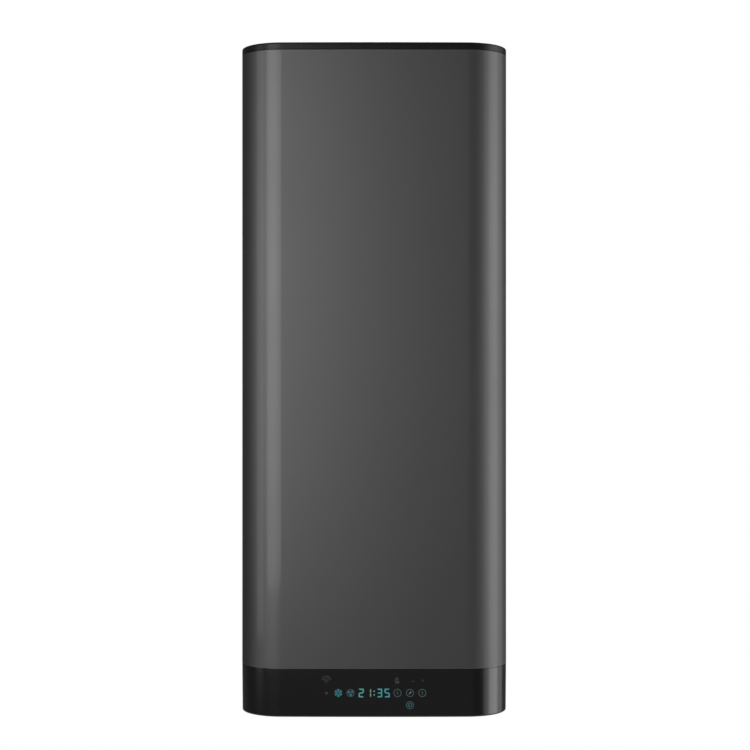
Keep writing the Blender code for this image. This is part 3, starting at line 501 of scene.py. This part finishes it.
# Light of each kind of glyph: colour at its left and right, and where the one turns to the other
glyph_lights = {
    "digit": ((0.065, 0.31, 0.27), (0.045, 0.27, 0.31), 0, 0.03),
    "digit_pale": ((0.12, 0.27, 0.23),),
    "frost": ((0.07, 0.24, 0.36), (0.055, 0.33, 0.31), frost_x),
    "frost_dim": ((0.006, 0.04, 0.06), (0.003, 0.04, 0.04), frost_x),
    "fan": ((0.06, 0.16, 0.18), (0.03, 0.1, 0.13), fan_x),
    "fan_dim": ((0.003, 0.014, 0.022), (0.002, 0.012, 0.02), fan_x),
    "ring": ((0.055, 0.085, 0.1), (0.05, 0.09, 0.085), 0.0639, 0.02),
    "bright": ((0.15, 0.19, 0.19),),
    "power": ((0.055, 0.13, 0.15),),
    "power_dim": ((0.001, 0.012, 0.016),),
    "power_ring": ((0.065, 0.085, 0.09),),
    "faint": ((0.018, 0.018, 0.018),),
    "faint_ray": ((0.12, 0.12, 0.12),),
    "faint_thin": ((0.045, 0.045, 0.045),),
}
lights = {kind: glyph_material(f"{kind}_light", *looks) for kind, looks in glyph_lights.items()}


def placed(name, data):
    """New object of some data, in the scene."""
    made = bpy.data.objects.new(name, data)
    bpy.context.scene.collection.objects.link(made)
    return made


def meshed(name, bm):
    """New object in the scene from a bmesh, which it uses up."""
    mesh = bpy.data.meshes.new(name)
    bm.to_mesh(mesh)
    bm.free()
    return placed(name, mesh)


def smooth_shade(mesh, angle=smooth_angle):
    """Smooth shading except across edges sharper than the angle."""
    mesh.shade_smooth()
    mesh.set_sharp_from_angle(angle=math.radians(angle))


def piece(name, bm, slot_name, body="heater", material=None, replaced=(), angle=smooth_angle):
    """Finished object from a bmesh: shaded, painted, and riding on its body."""
    made = meshed(name, bm)
    smooth_shade(made.data, angle)
    made.data.materials.append(material or materials[slot_name])
    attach(made, body)
    if replaced:
        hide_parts(*replaced)
    return made


def lofted(rings, closed=False):
    """Skin through rings of equally many points, with its ends filled or joined to each other."""
    bm = bmesh.new()
    loops = [[bm.verts.new(point) for point in ring] for ring in rings]
    pairs = list(zip(loops, loops[1:]))
    if closed:
        pairs.append((loops[-1], loops[0]))
    else:
        bm.faces.new(reversed(loops[0]))
        bm.faces.new(loops[-1])
    for lower, upper in pairs:
        for index, corner in enumerate(lower):
            after = (index + 1) % len(lower)
            bm.faces.new((corner, lower[after], upper[after], upper[index]))
    return bm


def around(x, y, radius, angle):
    """Point at an angle on a circle."""
    return x + radius * math.cos(angle), y + radius * math.sin(angle)


def quarter_angles(steps, quarter=0):
    """Angles of the steps along a quarter circle, with both its ends."""
    return [(quarter + step / steps) * math.pi / 2 for step in range(steps + 1)]


def circle(centre, radius, height, steps):
    """Points round a circle at one height; its radius may be a function of the angle."""
    points = []
    for step in range(steps):
        angle = 2 * math.pi * step / steps
        reach = radius(angle) if callable(radius) else radius
        points.append((*around(centre[0], centre[1], reach, angle), height))
    return points


def turned(profile, centre, steps):
    """Solid of revolution; the profile of radius and height runs up its outer side."""
    bm = lofted([circle((0, 0), radius, height, steps) for radius, height in profile])
    bm.transform(Matrix.Translation(centre))
    return bm


def middle_of(name):
    """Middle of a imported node's box."""
    low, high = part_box(name)
    return (low + high) / 2


def cut(target, bm):
    """Take the bmesh's solid out of the target for good."""
    bmesh.ops.recalc_face_normals(bm, faces=bm.faces)
    tool = meshed("cutter", bm)
    step = target.modifiers.new("cut", "BOOLEAN")
    step.object = tool
    step.solver = "EXACT"
    bpy.context.view_layer.update()
    graph = bpy.context.evaluated_depsgraph_get()
    mesh = bpy.data.meshes.new_from_object(target.evaluated_get(graph))
    target.modifiers.clear()
    target.data = mesh
    bpy.data.objects.remove(tool)
    smooth_shade(mesh)


def plan_ring(inset, height, crown=front_crown, seam=0):
    """The body's plan at one height, drawn in by the inset; a seam at its back if one is given."""
    radius = corner_radius - inset
    front = front_y + front_crown + corner_radius
    back = back_y - corner_radius
    points = []
    for quarter, (x, y) in enumerate(((straight_x, back), (-straight_x, back),
                                      (-straight_x, front), (straight_x, front))):
        for angle in quarter_angles(corner_steps, quarter):
            points.append((*around(x, y, radius, angle), height))
        if quarter == 0 and seam:
            for side, rise in ((1, 0), (1, seam), (-1, seam), (-1, 0)):
                points.append((seam_centre_x + side * seam_half_width, back + radius + rise,
                               height))
        if quarter == 2:
            for step in range(1, crown_steps):
                share = 2 * step / crown_steps - 1
                points.append((straight_x * share, front - radius - crown * (1 - share ** 2),
                               height))
    return points


def make_casing():
    """Painted steel casing with turned edges and a folded seam at the back."""
    low, high = casing_low.z + bottom_seam_rise, casing_high.z - top_seam_drop
    levels = [(low, sheet_wall), (low + sheet_wall, 0), (low + edge_support, 0),
              (high - edge_support, 0), (high - sheet_wall, 0), (high, sheet_wall)]
    rings = [plan_ring(inset, height, seam=seam_proud) for height, inset in levels]
    piece("casing_shell", lofted(rings, closed=True), "graphite_paint", replaced=("casing",),
          angle=casing_smooth_angle)


def cap_rings(end_z, shoulder_z, draft, upward):
    """Rings of a cap, from its flat end along the outside and back along the inside."""
    skirt_z = shoulder_z + cap_skirt * upward
    inner = skirt_inset + cap_wall
    span = abs(shoulder_z - end_z)

    def outside(rise, extra=0):
        return plan_ring(draft * (1 - rise / span) + extra, end_z + rise * upward)

    rings = [outside(0, cap_fillet + edge_support / 2)]
    for angle in quarter_angles(fillet_steps):
        rings.append(outside(cap_fillet * (1 - math.cos(angle)),
                             cap_fillet * (1 - math.sin(angle))))
    return rings + [outside(cap_fillet + edge_support / 2),
                    outside(span - cap_groove - edge_support / 2),
                    outside(span - cap_groove - cap_lip),
                    outside(span - cap_groove, cap_lip),
                    plan_ring(skirt_inset, shoulder_z - cap_groove * upward),
                    plan_ring(skirt_inset, skirt_z),
                    plan_ring(inner, skirt_z, 0),
                    plan_ring(inner, end_z + cap_floor * upward, 0)]


def make_top_cap():
    """Shallow black cap on the casing's upper end."""
    rings = cap_rings(top_high.z, casing_high.z - top_seam_drop + fit_gap, 0, -1)
    piece("top_cap_shell", lofted(rings[::-1]), "gloss_black", replaced=("top_cap",),
          material=gloss_material("top_black_finish"))


def make_bottom_cap():
    """Deep gloss black cap with holes for the nipples and the gland and a recess for the cover."""
    rings = cap_rings(bottom_low.z, casing_low.z + bottom_seam_rise - fit_gap, cap_draft, 1)
    cap = piece("bottom_cap_shell", lofted(rings), "gloss_black", replaced=("bottom_cap",))
    low, high = -cap_floor, 2 * cap_floor
    nipple_hole = nipple_radius + nipple_clearance
    for name, radius in (("hot_nipple", nipple_hole), ("cold_nipple", nipple_hole),
                         ("cable_gland", gland_thread_radius + fit_gap)):
        middle = middle_of(name)
        cut(cap, turned(((radius, low), (radius, high)), (middle.x, middle.y, bottom_low.z),
                        cap_hole_steps))
    grown = Vector((fit_gap, fit_gap, 0))
    rings = [rounded_plan(cover_low - grown, cover_high + grown, cover_corner + fit_gap, 0, z)
             for z in (bottom_low.z - cap_floor, bottom_low.z + cover_recess)]
    cut(cap, lofted(rings))
    middle = middle_of("service_cover")
    half = Vector((cover_hole_length / 2, cover_hole_width / 2, 0))
    rings = [rounded_plan(middle - half, middle + half, cap_fillet, 0, bottom_low.z + rise)
             for rise in (0, 2 * cap_floor)]
    cut(cap, lofted(rings))


def rounded_plan(low, high, radius, inset, height):
    """Rectangle with round corners at one height, drawn in by the inset."""
    points = []
    corner = radius - inset
    centres = ((high.x - radius, high.y - radius), (low.x + radius, high.y - radius),
               (low.x + radius, low.y + radius), (high.x - radius, low.y + radius))
    for quarter, (x, y) in enumerate(centres):
        for angle in quarter_angles(cover_corner_steps, quarter):
            points.append((*around(x, y, corner, angle), height))
    return points


def cap_front(x, z):
    """Depth of the bottom cap's front surface."""
    share = x / straight_x
    drawn_in = cap_draft * (casing_low.z - z) / (casing_low.z - bottom_low.z)
    return front_y + front_crown * share ** 2 + drawn_in


def glyph(name, shapes, light, layer=0):
    """Thin symbol that lies in the cap's front surface, from flat outlines of x and z."""
    bm = bmesh.new()
    for outline in shapes:
        bm.faces.new([bm.verts.new((x, 0, z)) for x, z in outline])
    bmesh.ops.remove_doubles(bm, verts=bm.verts, dist=merge_distance)
    front = list(bm.faces)
    for face in front:
        face.normal_update()
        if face.normal.y < 0:
            face.normal_flip()
    rims = [edge for edge in bm.edges if edge.is_boundary]
    raised = {}
    for vert in list(bm.verts):
        depth = cap_front(vert.co.x, vert.co.z)
        raised[vert] = bm.verts.new((vert.co.x, depth - glyph_proud - layer * glyph_layer,
                                     vert.co.z))
        vert.co.y = depth + glyph_sunk
    for face in front:
        bm.faces.new([raised[vert] for vert in reversed(face.verts)])
    for edge in rims:
        first, second = edge.verts
        bm.faces.new((first, second, raised[second], raised[first]))
    bmesh.ops.recalc_face_normals(bm, faces=bm.faces)
    piece(name, bm, "gloss_black", material=lights[light])


def ring_shape(x, z, stroke=thin_stroke, outer=disc_radius):
    """Outlines of a ring's short pieces."""
    inner = outer - stroke
    angles = [2 * math.pi * step / round_steps for step in range(round_steps + 1)]
    return [[around(x, z, radius, angle) for radius, angle in
             ((outer, first), (outer, second), (inner, second), (inner, first))]
            for first, second in zip(angles, angles[1:])]


def disc_shape(x, z, radius=disc_radius, steps=round_steps):
    """Outline of a filled disc."""
    return [[around(x, z, radius, 2 * math.pi * step / steps) for step in range(steps)]]


def bar_shape(x0, z0, x1, z1, width):
    """Outline of a straight stroke between two points."""
    along = Vector((x1 - x0, z1 - z0)).normalized() * width / 2
    across = Vector((-along.y, along.x))
    start, end = Vector((x0, z0)), Vector((x1, z1))
    return [[tuple(start + across), tuple(start - across), tuple(end - across),
             tuple(end + across)]]


segment_places = {"a": (0, 1, True), "d": (0, -1, True), "g": (0, 0, True), "b": (1, 0.5, False),
                  "c": (1, -0.5, False), "e": (-1, -0.5, False), "f": (-1, 0.5, False)}
digit_segments = {"2": "abged", "1": "bc", "3": "abgcd", "5": "afgcd"}


def digit_shapes(value, x, z):
    """Outlines of the lit segments of one digit."""
    half_x = (digit_width - digit_stroke) / 2
    half_z = (digit_height - digit_stroke) / 2
    tip = digit_stroke / 2
    shapes = []
    for letter in digit_segments[value]:
        side, row, flat = segment_places[letter]
        cx, cz = x + side * half_x, z + row * half_z
        if letter == "g":
            half = half_x - digit_gap
            corners = ((-half, 0), (-half + tip, tip), (half - tip, tip),
                       (half, 0), (half - tip, -tip), (-half + tip, -tip))
        elif flat:
            half = half_x - digit_gap
            corners = ((-half - tip, row * tip), (half + tip, row * tip),
                       (half - tip, -row * tip), (-half + tip, -row * tip))
        else:
            half, up = half_z / 2 - digit_gap, 1 if row > 0 else -1
            corners = ((side * tip, up * (half + tip)), (-side * tip, up * (half - tip)),
                       (-side * tip, up * (tip - half)), (side * tip, -up * half))
        shapes.append([(cx + u, cz + v) for u, v in corners])
    return shapes


def turned_shapes(shapes, x, z, angle):
    """Outlines turned about the origin and then moved to a place."""
    turn = Matrix.Rotation(angle, 2)
    return [[tuple(turn @ Vector(point) + Vector((x, z))) for point in outline]
            for outline in shapes]


def frost_shapes(x, z):
    """Six-armed frost sign."""
    reach, barb = disc_radius * frost_reach, disc_radius * frost_barb
    arm = bar_shape(disc_radius * frost_hub, 0, reach, 0, thin_stroke * frost_arm_stroke)
    for side in (-1, 1):
        arm += bar_shape(reach - barb, 0, reach, side * barb, thin_stroke * frost_barb_stroke)
    shapes = []
    for step in range(frost_arms):
        shapes += turned_shapes(arm, x, z, 2 * math.pi * step / frost_arms + math.pi / 2)
    return shapes


def blade_shapes(x, z):
    """Swept blades of a fan."""
    reach = disc_radius * blade_reach
    shapes = []
    for blade in range(blade_count):
        middle = math.radians(blade_turn + 360 / blade_count * blade)
        outline = []
        for side in (1, -1):
            for step in range(blade_steps + 1):
                share = (step if side > 0 else blade_steps - step) / blade_steps
                bow = math.sin(math.pi * (blade_bow_start + blade_bow_span * share))
                angle = middle + side * blade_half_width * bow + blade_sweep * share
                distance = reach * (blade_root + (1 - blade_root) * share)
                outline.append(around(x, z, distance, angle))
        shapes.append(outline)
    return shapes


def chevron_shapes(x, z, side):
    """Arrow head that points to one side."""
    tip = side * chevron_size / 2
    return (bar_shape(x - tip, z + chevron_size, x + tip, z, thin_stroke)
            + bar_shape(x - tip, z - chevron_size, x + tip, z, thin_stroke))


def arrow_shapes(x, z):
    """Small slanting arrow."""
    reach = chevron_size * arrow_reach
    end, tip, barb = (reach * share for share in (arrow_shaft_end, arrow_tip, arrow_barb))
    return (bar_shape(x - reach, z - reach, x + end, z + end, ring_stroke)
            + [[(x + tip, z + tip), (x - barb, z + reach), (x + reach, z - barb)]])


def drop_shapes(x, z):
    """Outlined drop over a wave."""
    size = drop_size
    edge = [(x, z + size)]
    for step in range(drop_steps + 1):
        angle = math.radians(drop_first_angle - step * drop_sweep / drop_steps)
        edge.append((x + size * drop_bow_radius * math.cos(angle),
                     z + size * (drop_bow_rise + drop_bow_radius * math.sin(angle))))
    shapes = []
    for start, end in zip(edge, edge[1:] + edge[:1]):
        shapes += bar_shape(*start, *end, thin_stroke)
    level = z - size * wave_drop
    for step in range(wave_strokes):
        low = x + size * (wave_stroke * step - wave_start)
        rise = size * wave_rise / 2 * (1 if step % 2 == 0 else -1)
        shapes += bar_shape(low, level - rise, low + size * wave_stroke, level + rise,
                            thin_stroke)
    return shapes


def sun_shapes(x, z):
    """Rays over a sun."""
    ray = bar_shape(sun_radius * ray_start, 0, sun_radius * ray_end, 0, thin_stroke * ray_stroke)
    shapes = []
    for step in range(ray_count):
        shapes += turned_shapes(ray, x, z, math.radians(ray_first_angle + ray_step_angle * step))
    return shapes


def star_shapes(x, z):
    """Five-pointed star."""
    star = []
    for step in range(2 * star_points):
        reach = star_radius * (1 if step % 2 == 0 else star_notch)
        angle = math.radians(90 + 180 / star_points * step)
        star.append(around(x, z, reach, angle))
    return [star]


def make_display():
    """Clock digits, lit discs, ring keys and small symbols that shine through the cap."""
    z = bottom_low.z + display_rise
    upper, lower = z + upper_row_rise, z - lower_row_drop
    shapes = []
    for value, x in zip(digit_values, digit_centres):
        if value != "1":
            shapes += digit_shapes(value, x, z)
    glyph("clock_digits", shapes, "digit")
    shapes = digit_shapes("1", digit_centres[1], z)
    for side in (-1, 1):
        shapes += disc_shape(colon_x, z + side * colon_rise, colon_radius, colon_steps)
    glyph("clock_thin_signs", shapes, "digit_pale")
    glyph("frost_disc", disc_shape(frost_x, z), "frost_dim")
    glyph("frost_sign", frost_shapes(frost_x, z), "frost", 1)
    glyph("fan_disc", disc_shape(fan_x, z), "fan_dim")
    glyph("fan_rim", ring_shape(fan_x, z), "ring", 1)
    glyph("fan_blades", blade_shapes(fan_x, z), "fan", 1)
    for name, x in zip(("previous", "select", "next"), key_xs):
        glyph(f"{name}_key_ring", ring_shape(x, z, ring_stroke), "ring")
    glyph("previous_key_sign", chevron_shapes(key_xs[0], z, -1), "ring")
    glyph("select_key_sign", arrow_shapes(key_xs[1], z), "bright")
    glyph("next_key_sign", chevron_shapes(key_xs[2], z, 1), "ring")
    glyph("power_key_disc", disc_shape(key_xs[1], lower), "power_dim")
    glyph("power_key_ring", ring_shape(key_xs[1], lower), "power_ring", 1)
    glyph("power_key_sign", ring_shape(key_xs[1], lower, outer=disc_radius * power_sign_share),
          "power", 1)
    glyph("drop_sign", drop_shapes(key_xs[0] - ring_stroke, upper), "ring")
    glyph("sun_sign", disc_shape(faint_xs[0], upper, sun_radius * sun_disc_share), "faint")
    glyph("sun_rays", sun_shapes(faint_xs[0], upper), "faint_ray")
    glyph("star_sign", star_shapes(faint_xs[0], z), "faint_thin")
    glyph("bar_sign", bar_shape(faint_xs[1] - chevron_size, upper, faint_xs[1] + chevron_size,
                                upper - chevron_size, thin_stroke), "faint_thin")
    glyph("slash_sign", bar_shape(faint_xs[2] - chevron_size / 2, upper + chevron_size,
                                  faint_xs[2] + chevron_size / 2, upper - chevron_size,
                                  thin_stroke), "faint_thin")


def thread_radius(height, low, high):
    """Radius at each angle of a pipe thread at one height; it runs out at both its ends."""
    rise = (height - low) / thread_pitch
    fade = min(1, rise, max(0, (high - height) / thread_pitch))
    end = thread_depth * thread_end_share * max(0, 1 - rise)

    def radius(angle):
        wave = 1 - abs(2 * ((rise - angle / (2 * math.pi)) % 1) - 1)
        return nipple_radius - thread_depth * (1 - min(1, wave * thread_crest_gain)) * fade - end
    return radius


def make_nipple(side):
    """Zinc-plated nipple with a pipe thread on its free end, and its coloured ring."""
    low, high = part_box(f"{side}_nipple")
    centre = ((low.x + high.x) / 2, (low.y + high.y) / 2)
    start, end = low.z + thread_lead, bottom_low.z - thread_start
    rows = int((end - low.z) / thread_pitch * thread_rows_per_turn)
    levels = [(nipple_bore, low.z), (nipple_radius - thread_depth - thread_end_step, low.z)]
    for row in range(rows + 1):
        height = start + (end - start) * row / rows
        levels.append((thread_radius(height, low.z, end), height))
    levels += [(nipple_radius, high.z), (nipple_bore, high.z)]
    rings = [circle(centre, radius, height, thread_steps) for radius, height in levels]
    piece(f"{side}_nipple_threaded", lofted(rings, closed=True), "zinc_steel",
          replaced=(f"{side}_nipple",), angle=nipple_smooth_angle)
    low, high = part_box(f"{side}_ring")
    inner, outer = nipple_radius + ring_clearance, (high.x - low.x) / 2
    eased = ring_edge * ring_edge_middle
    profile = ((inner, low.z + ring_edge), (inner + ring_edge, low.z), (outer - ring_edge, low.z),
               (outer - eased, low.z + eased), (outer, low.z + ring_edge), (outer, high.z),
               (inner, high.z))
    rings = [circle(centre, radius, height, ring_steps) for radius, height in profile]
    piece(f"{side}_mark_ring", lofted(rings, closed=True),
          "red_plastic" if side == "hot" else "blue_plastic", replaced=(f"{side}_ring",))


def hexagon(flat, corner):
    """Radius at each angle of a hexagon whose corners are turned down to a circle."""
    def radius(angle):
        off = (angle + math.pi / 6) % (math.pi / 3) - math.pi / 6
        return min(flat / math.cos(off), corner)
    return radius


def fluted(radius, depth):
    """Radius at each angle of a knob with flutes."""
    return lambda angle: radius - depth * (0.5 - 0.5 * math.cos(gland_flutes * angle)) ** 2


def make_gland():
    """Cable gland with a hexagon, a fluted dome nut, and a rubber insert round its open bore."""
    middle = middle_of("cable_gland")
    seat, foot, head = bottom_low.z - fit_gap, gland_low.z, (gland_high.x - gland_low.x) / 2
    tall = seat - foot
    flats = hexagon(gland_flat_radius, head)
    eased_flats = hexagon(gland_flat_radius - ring_edge, head - ring_edge)
    dome = fluted(gland_dome_radius, gland_flute_depth)
    outer = [(gland_thread_radius, gland_high.z)]
    outer += [(radius, seat - tall * share) for radius, share in (
        (gland_thread_radius, 0), (eased_flats, 0), (flats, gland_flats_start),
        (flats, gland_flats_end), (eased_flats, gland_flats_foot),
        (gland_waist_radius, gland_waist_start), (gland_waist_radius, gland_waist_end),
        (dome, gland_dome_start), (dome, gland_dome_round))]
    for angle in quarter_angles(gland_dome_steps)[1:]:
        reach = gland_mouth_radius + (gland_dome_radius - gland_mouth_radius) * math.cos(angle)
        share = gland_dome_round + (1 - gland_dome_round) * math.sin(angle)
        outer.append((fluted(reach, gland_flute_depth * math.cos(angle)), seat - tall * share))
    outer += [(gland_insert_radius, foot), (gland_insert_radius, foot + gland_insert_depth),
              (gland_bore, foot + gland_insert_depth), (gland_bore, gland_high.z)]
    rings = [circle(middle, radius, z, gland_steps) for radius, z in outer]
    piece("gland_body", lofted(rings, closed=True), "satin_black", replaced=("cable_gland",))
    low, high = foot + gland_insert_recess, foot + gland_insert_depth - fit_gap
    edge = gland_insert_radius - fit_gap / 2
    profile = ((gland_bore, high), (gland_bore, low + ring_edge), (gland_bore + ring_edge, low),
               (edge, low), (edge, high))
    rings = [circle(middle, radius, z, gland_steps) for radius, z in profile]
    piece("gland_insert", lofted(rings, closed=True), "rubber")


def make_screw(name, spin, down=False):
    """Pan-head screw with a cross recess, in the place of a packed one."""
    low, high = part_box(name)
    middle = (low + high) / 2
    head = (high.x - low.x) / 2
    tall = head * head_height_share
    face = Vector((middle.x, middle.y, low.z)) if down else Vector((middle.x, high.y, middle.z))
    length = high.z - low.z if down else high.y - low.y
    profile = [(head * shaft_share, -length), (head * shaft_share, -tall)]
    profile += [(head * share, -tall * depth) for share, depth in head_profile]
    turn = Matrix.Rotation(math.pi if down else -math.pi / 2, 4, "X")
    where = Matrix.Translation(face) @ turn @ Matrix.Rotation(spin, 4, "Z")
    bm = turned(profile, (0, 0, 0), screw_steps)
    bm.transform(where)
    made = piece(f"{name}_pan_head", bm, "zinc_steel", replaced=(name,))
    reach, half = head * cross_reach_share, head * cross_half_width_share
    rings = []
    for depth, share in ((cross_depth_share, 1 + cross_depth_share), (0, 1), (-1, cross_taper)):
        a, b = reach * share, half * (1 + share) / 2
        outline = ((a, b), (b, b), (b, a), (-b, a), (-b, b), (-a, b), (-a, -b), (-b, -b),
                   (-b, -a), (b, -a), (b, -b), (a, -b))
        rings.append([(x, y, depth * head * cross_depth_share) for x, y in reversed(outline)])
    tool = lofted(rings[::-1])
    tool.transform(where)
    cut(made, tool)


def make_service_cover():
    """Flush cover in the cap's floor, with round corners and an eased edge."""
    levels = ((cover_low.z, cover_bevel), (cover_low.z + cover_bevel, 0), (cover_high.z, 0))
    rings = [rounded_plan(cover_low, cover_high, cover_corner, inset, z) for z, inset in levels]
    piece("service_cover_plate", lofted(rings), "satin_black", replaced=("service_cover",))


def bent_section(corners):
    """Outline of a bent sheet, from the corners of its middle line; all bends are square."""
    points = [Vector(corner) for corner in corners]
    way = (points[1] - points[0]).normalized()
    line = [(points[0], Vector((-way.y, way.x)))]
    for before, corner, after in zip(points, points[1:], points[2:]):
        back, ahead = (before - corner).normalized(), (after - corner).normalized()
        centre = corner + (back + ahead) * bracket_bend
        start, end = back * bracket_bend + corner - centre, ahead * bracket_bend + corner - centre
        left = Vector((back.y, -back.x))
        side = 1 if start.dot(left) > 0 else -1
        for angle in quarter_angles(bracket_bend_steps):
            arm = start * math.cos(angle) + end * math.sin(angle)
            line.append((centre + arm, arm.normalized() * side))
    way = (points[-1] - points[-2]).normalized()
    line.append((points[-1], Vector((-way.y, way.x))))
    half = bracket_sheet / 2
    return [at + out * half for at, out in line] + [at - out * half for at, out in line[::-1]]


def make_bracket(name):
    """Hat-section wall bracket of bent zinc-plated sheet, with two long slots for the hooks."""
    low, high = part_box(name)
    middle = (low.z + high.z) / 2
    half = (high.z - low.z) / 2
    near, far = low.y + bracket_sheet / 2, high.y - bracket_sheet / 2
    web = half - bracket_flange - bracket_sheet / 2
    corners = [(near, half), (near, web), (far, web), (far, -web), (near, -web), (near, -half)]
    rings = [[(x, point.x, point.y + middle) for point in bent_section(corners)]
             for x in (low.x, high.x)]
    made = lofted(rings)
    bmesh.ops.recalc_face_normals(made, faces=made.faces)
    bracket = piece(f"{name}_bent", made, "zinc_steel", replaced=(name,))
    radius, straight = slot_width / 2, (slot_height - slot_width) / 2
    for side in (-1, 1):
        outline = []
        for end in (1, -1):
            for step in range(slot_steps + 1):
                angle = (step / slot_steps if end > 0 else 1 + step / slot_steps) * math.pi
                outline.append(around(side * slot_x, middle + end * straight, radius, angle))
        rings = [[(x, y, z) for x, z in outline]
                 for y in (high.y + bracket_sheet, high.y - 2 * bracket_sheet)]
        cut(bracket, lofted(rings))
    eased = bracket.modifiers.new("eased_edges", "BEVEL")
    eased.width = bracket_edge
    eased.segments = 2
    eased.limit_method = "ANGLE"
    eased.angle_limit = math.radians(bracket_edge_angle)
    eased.harden_normals = True


def make_button():
    """Reset button of the thermal cut-out."""
    middle = middle_of("reset_button")
    radius = (button_high.x - button_low.x) / 2
    profile = []
    for angle in quarter_angles(button_edge_steps):
        profile.append((radius - button_edge * (1 - math.sin(angle)),
                        button_low.z + button_edge * (1 - math.cos(angle))))
    profile.append((radius, button_high.z))
    piece("reset_button_cap", turned(profile, (middle.x, middle.y, 0), button_steps),
          "red_plastic", body="button", replaced=("reset_button",))


def dress_frame():
    """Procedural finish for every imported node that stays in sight."""
    slots = {row["node"]: row["material_slot"] for row in frame["record"]["subparts"]}
    for name, obj in frame["nodes"].items():
        obj.data.materials.clear()
        obj.data.materials.append(materials[slots[name]])


def make_stage():
    """Pale floor well below the hung heater; from below it is clear, so it hides nothing."""
    bm = bmesh.new()
    bmesh.ops.create_circle(bm, cap_ends=True, segments=floor_steps, radius=floor_radius)
    floor = meshed("floor", bm)
    floor.location = (0, middle_y, floor_z)
    made = bpy.data.materials.new("floor_white")
    made.use_nodes = True
    tree = made.node_tree
    tree.nodes.clear()
    out = node(tree, "ShaderNodeOutputMaterial")
    plain = node(tree, "ShaderNodeBsdfDiffuse", Color=floor_colour)
    glow = node(tree, "ShaderNodeEmission")
    clear = node(tree, "ShaderNodeBsdfTransparent")
    path = node(tree, "ShaderNodeLightPath")
    place = node(tree, "ShaderNodeTexCoord")
    length = node(tree, "ShaderNodeVectorMath", operation="LENGTH",
                  Vector=place.outputs["Object"])
    share = ramp(tree, length.outputs["Value"], floor_near_glow, 1, floor_fade_start,
                 floor_radius)
    both = reckoned(tree, "MULTIPLY", share, path.outputs["Is Camera Ray"])
    lit = blended(tree, both, plain.outputs["BSDF"], glow.outputs["Emission"])
    facing = node(tree, "ShaderNodeNewGeometry")
    shown = blended(tree, facing.outputs["Backfacing"], lit, clear.outputs["BSDF"])
    wire(out, Surface=shown)
    floor.data.materials.append(made)


def make_world():
    """White to the eye; as light, a dim room with the white backdrop behind the object."""
    world = bpy.data.worlds.new("studio")
    world.use_nodes = True
    bpy.context.scene.world = world
    tree = world.node_tree
    tree.nodes.clear()
    out = node(tree, "ShaderNodeOutputWorld")
    path = node(tree, "ShaderNodeLightPath")
    place = node(tree, "ShaderNodeTexCoord")
    split = node(tree, "ShaderNodeSeparateXYZ", Vector=place.outputs["Generated"])
    level = ramp(tree, split.outputs["Y"], room_level, 1, math.cos(math.radians(backdrop_angle)),
                 math.cos(math.radians(backdrop_angle * backdrop_full_share)))
    room = node(tree, "ShaderNodeBackground", Color=(1, 1, 1, 1), Strength=level)
    white = node(tree, "ShaderNodeBackground", Color=(1, 1, 1, 1))
    shown = blended(tree, path.outputs["Is Camera Ray"], room.outputs["Background"],
                    white.outputs["Background"])
    wire(out, Surface=shown)


def make_lamp(name, azimuth, elevation, distance, height, width, tall, radiance):
    """Soft box that faces the object, its azimuth counted from the front towards the right."""
    lamp = bpy.data.lights.new(name, "AREA")
    lamp.shape = "RECTANGLE"
    lamp.size = width
    lamp.size_y = tall
    lamp.energy = radiance * math.pi * width * tall
    made = placed(name, lamp)
    angle, rise = math.radians(azimuth), math.radians(elevation)
    middle = Vector((0, middle_y, (casing_low.z + casing_high.z) / 2 + height))
    away = Vector((math.sin(angle) * math.cos(rise), -math.cos(angle) * math.cos(rise),
                   math.sin(rise)))
    made.location = middle + away * distance
    made.rotation_euler = (-away).to_track_quat("-Z", "Y").to_euler()
    made.visible_camera = False


def make_camera():
    """Camera where the photograph was taken from."""
    data = bpy.data.cameras.new("camera")
    data.lens = camera_lens
    data.sensor_width = camera_sensor
    made = placed("camera", data)
    middle_z = (top_high.z + bottom_low.z) / 2
    made.location = (camera_shift_right, front_y - camera_distance,
                     middle_z + camera_height_above_middle)
    made.rotation_euler = (math.pi / 2, 0, 0)
    bpy.context.scene.camera = made


dress_frame()
make_casing()
make_top_cap()
make_bottom_cap()
make_display()
make_nipple("hot")
make_nipple("cold")
make_gland()
make_service_cover()
make_bracket("upper_wall_bracket")
make_bracket("lower_wall_bracket")
make_screw("service_cover_screw", cover_screw_turn, down=True)
for order, screw_name in enumerate(("cap_screw_left", "cap_screw_right",
                                    "upper_bracket_screw_left", "upper_bracket_screw_right",
                                    "lower_bracket_screw_left", "lower_bracket_screw_right")):
    make_screw(screw_name, order * screw_turn_step)
make_button()
make_stage()
make_world()
for lamp_name, settings in lamps.items():
    make_lamp(lamp_name, *settings)
make_camera()
bpy.context.scene.view_settings.view_transform = "Standard"
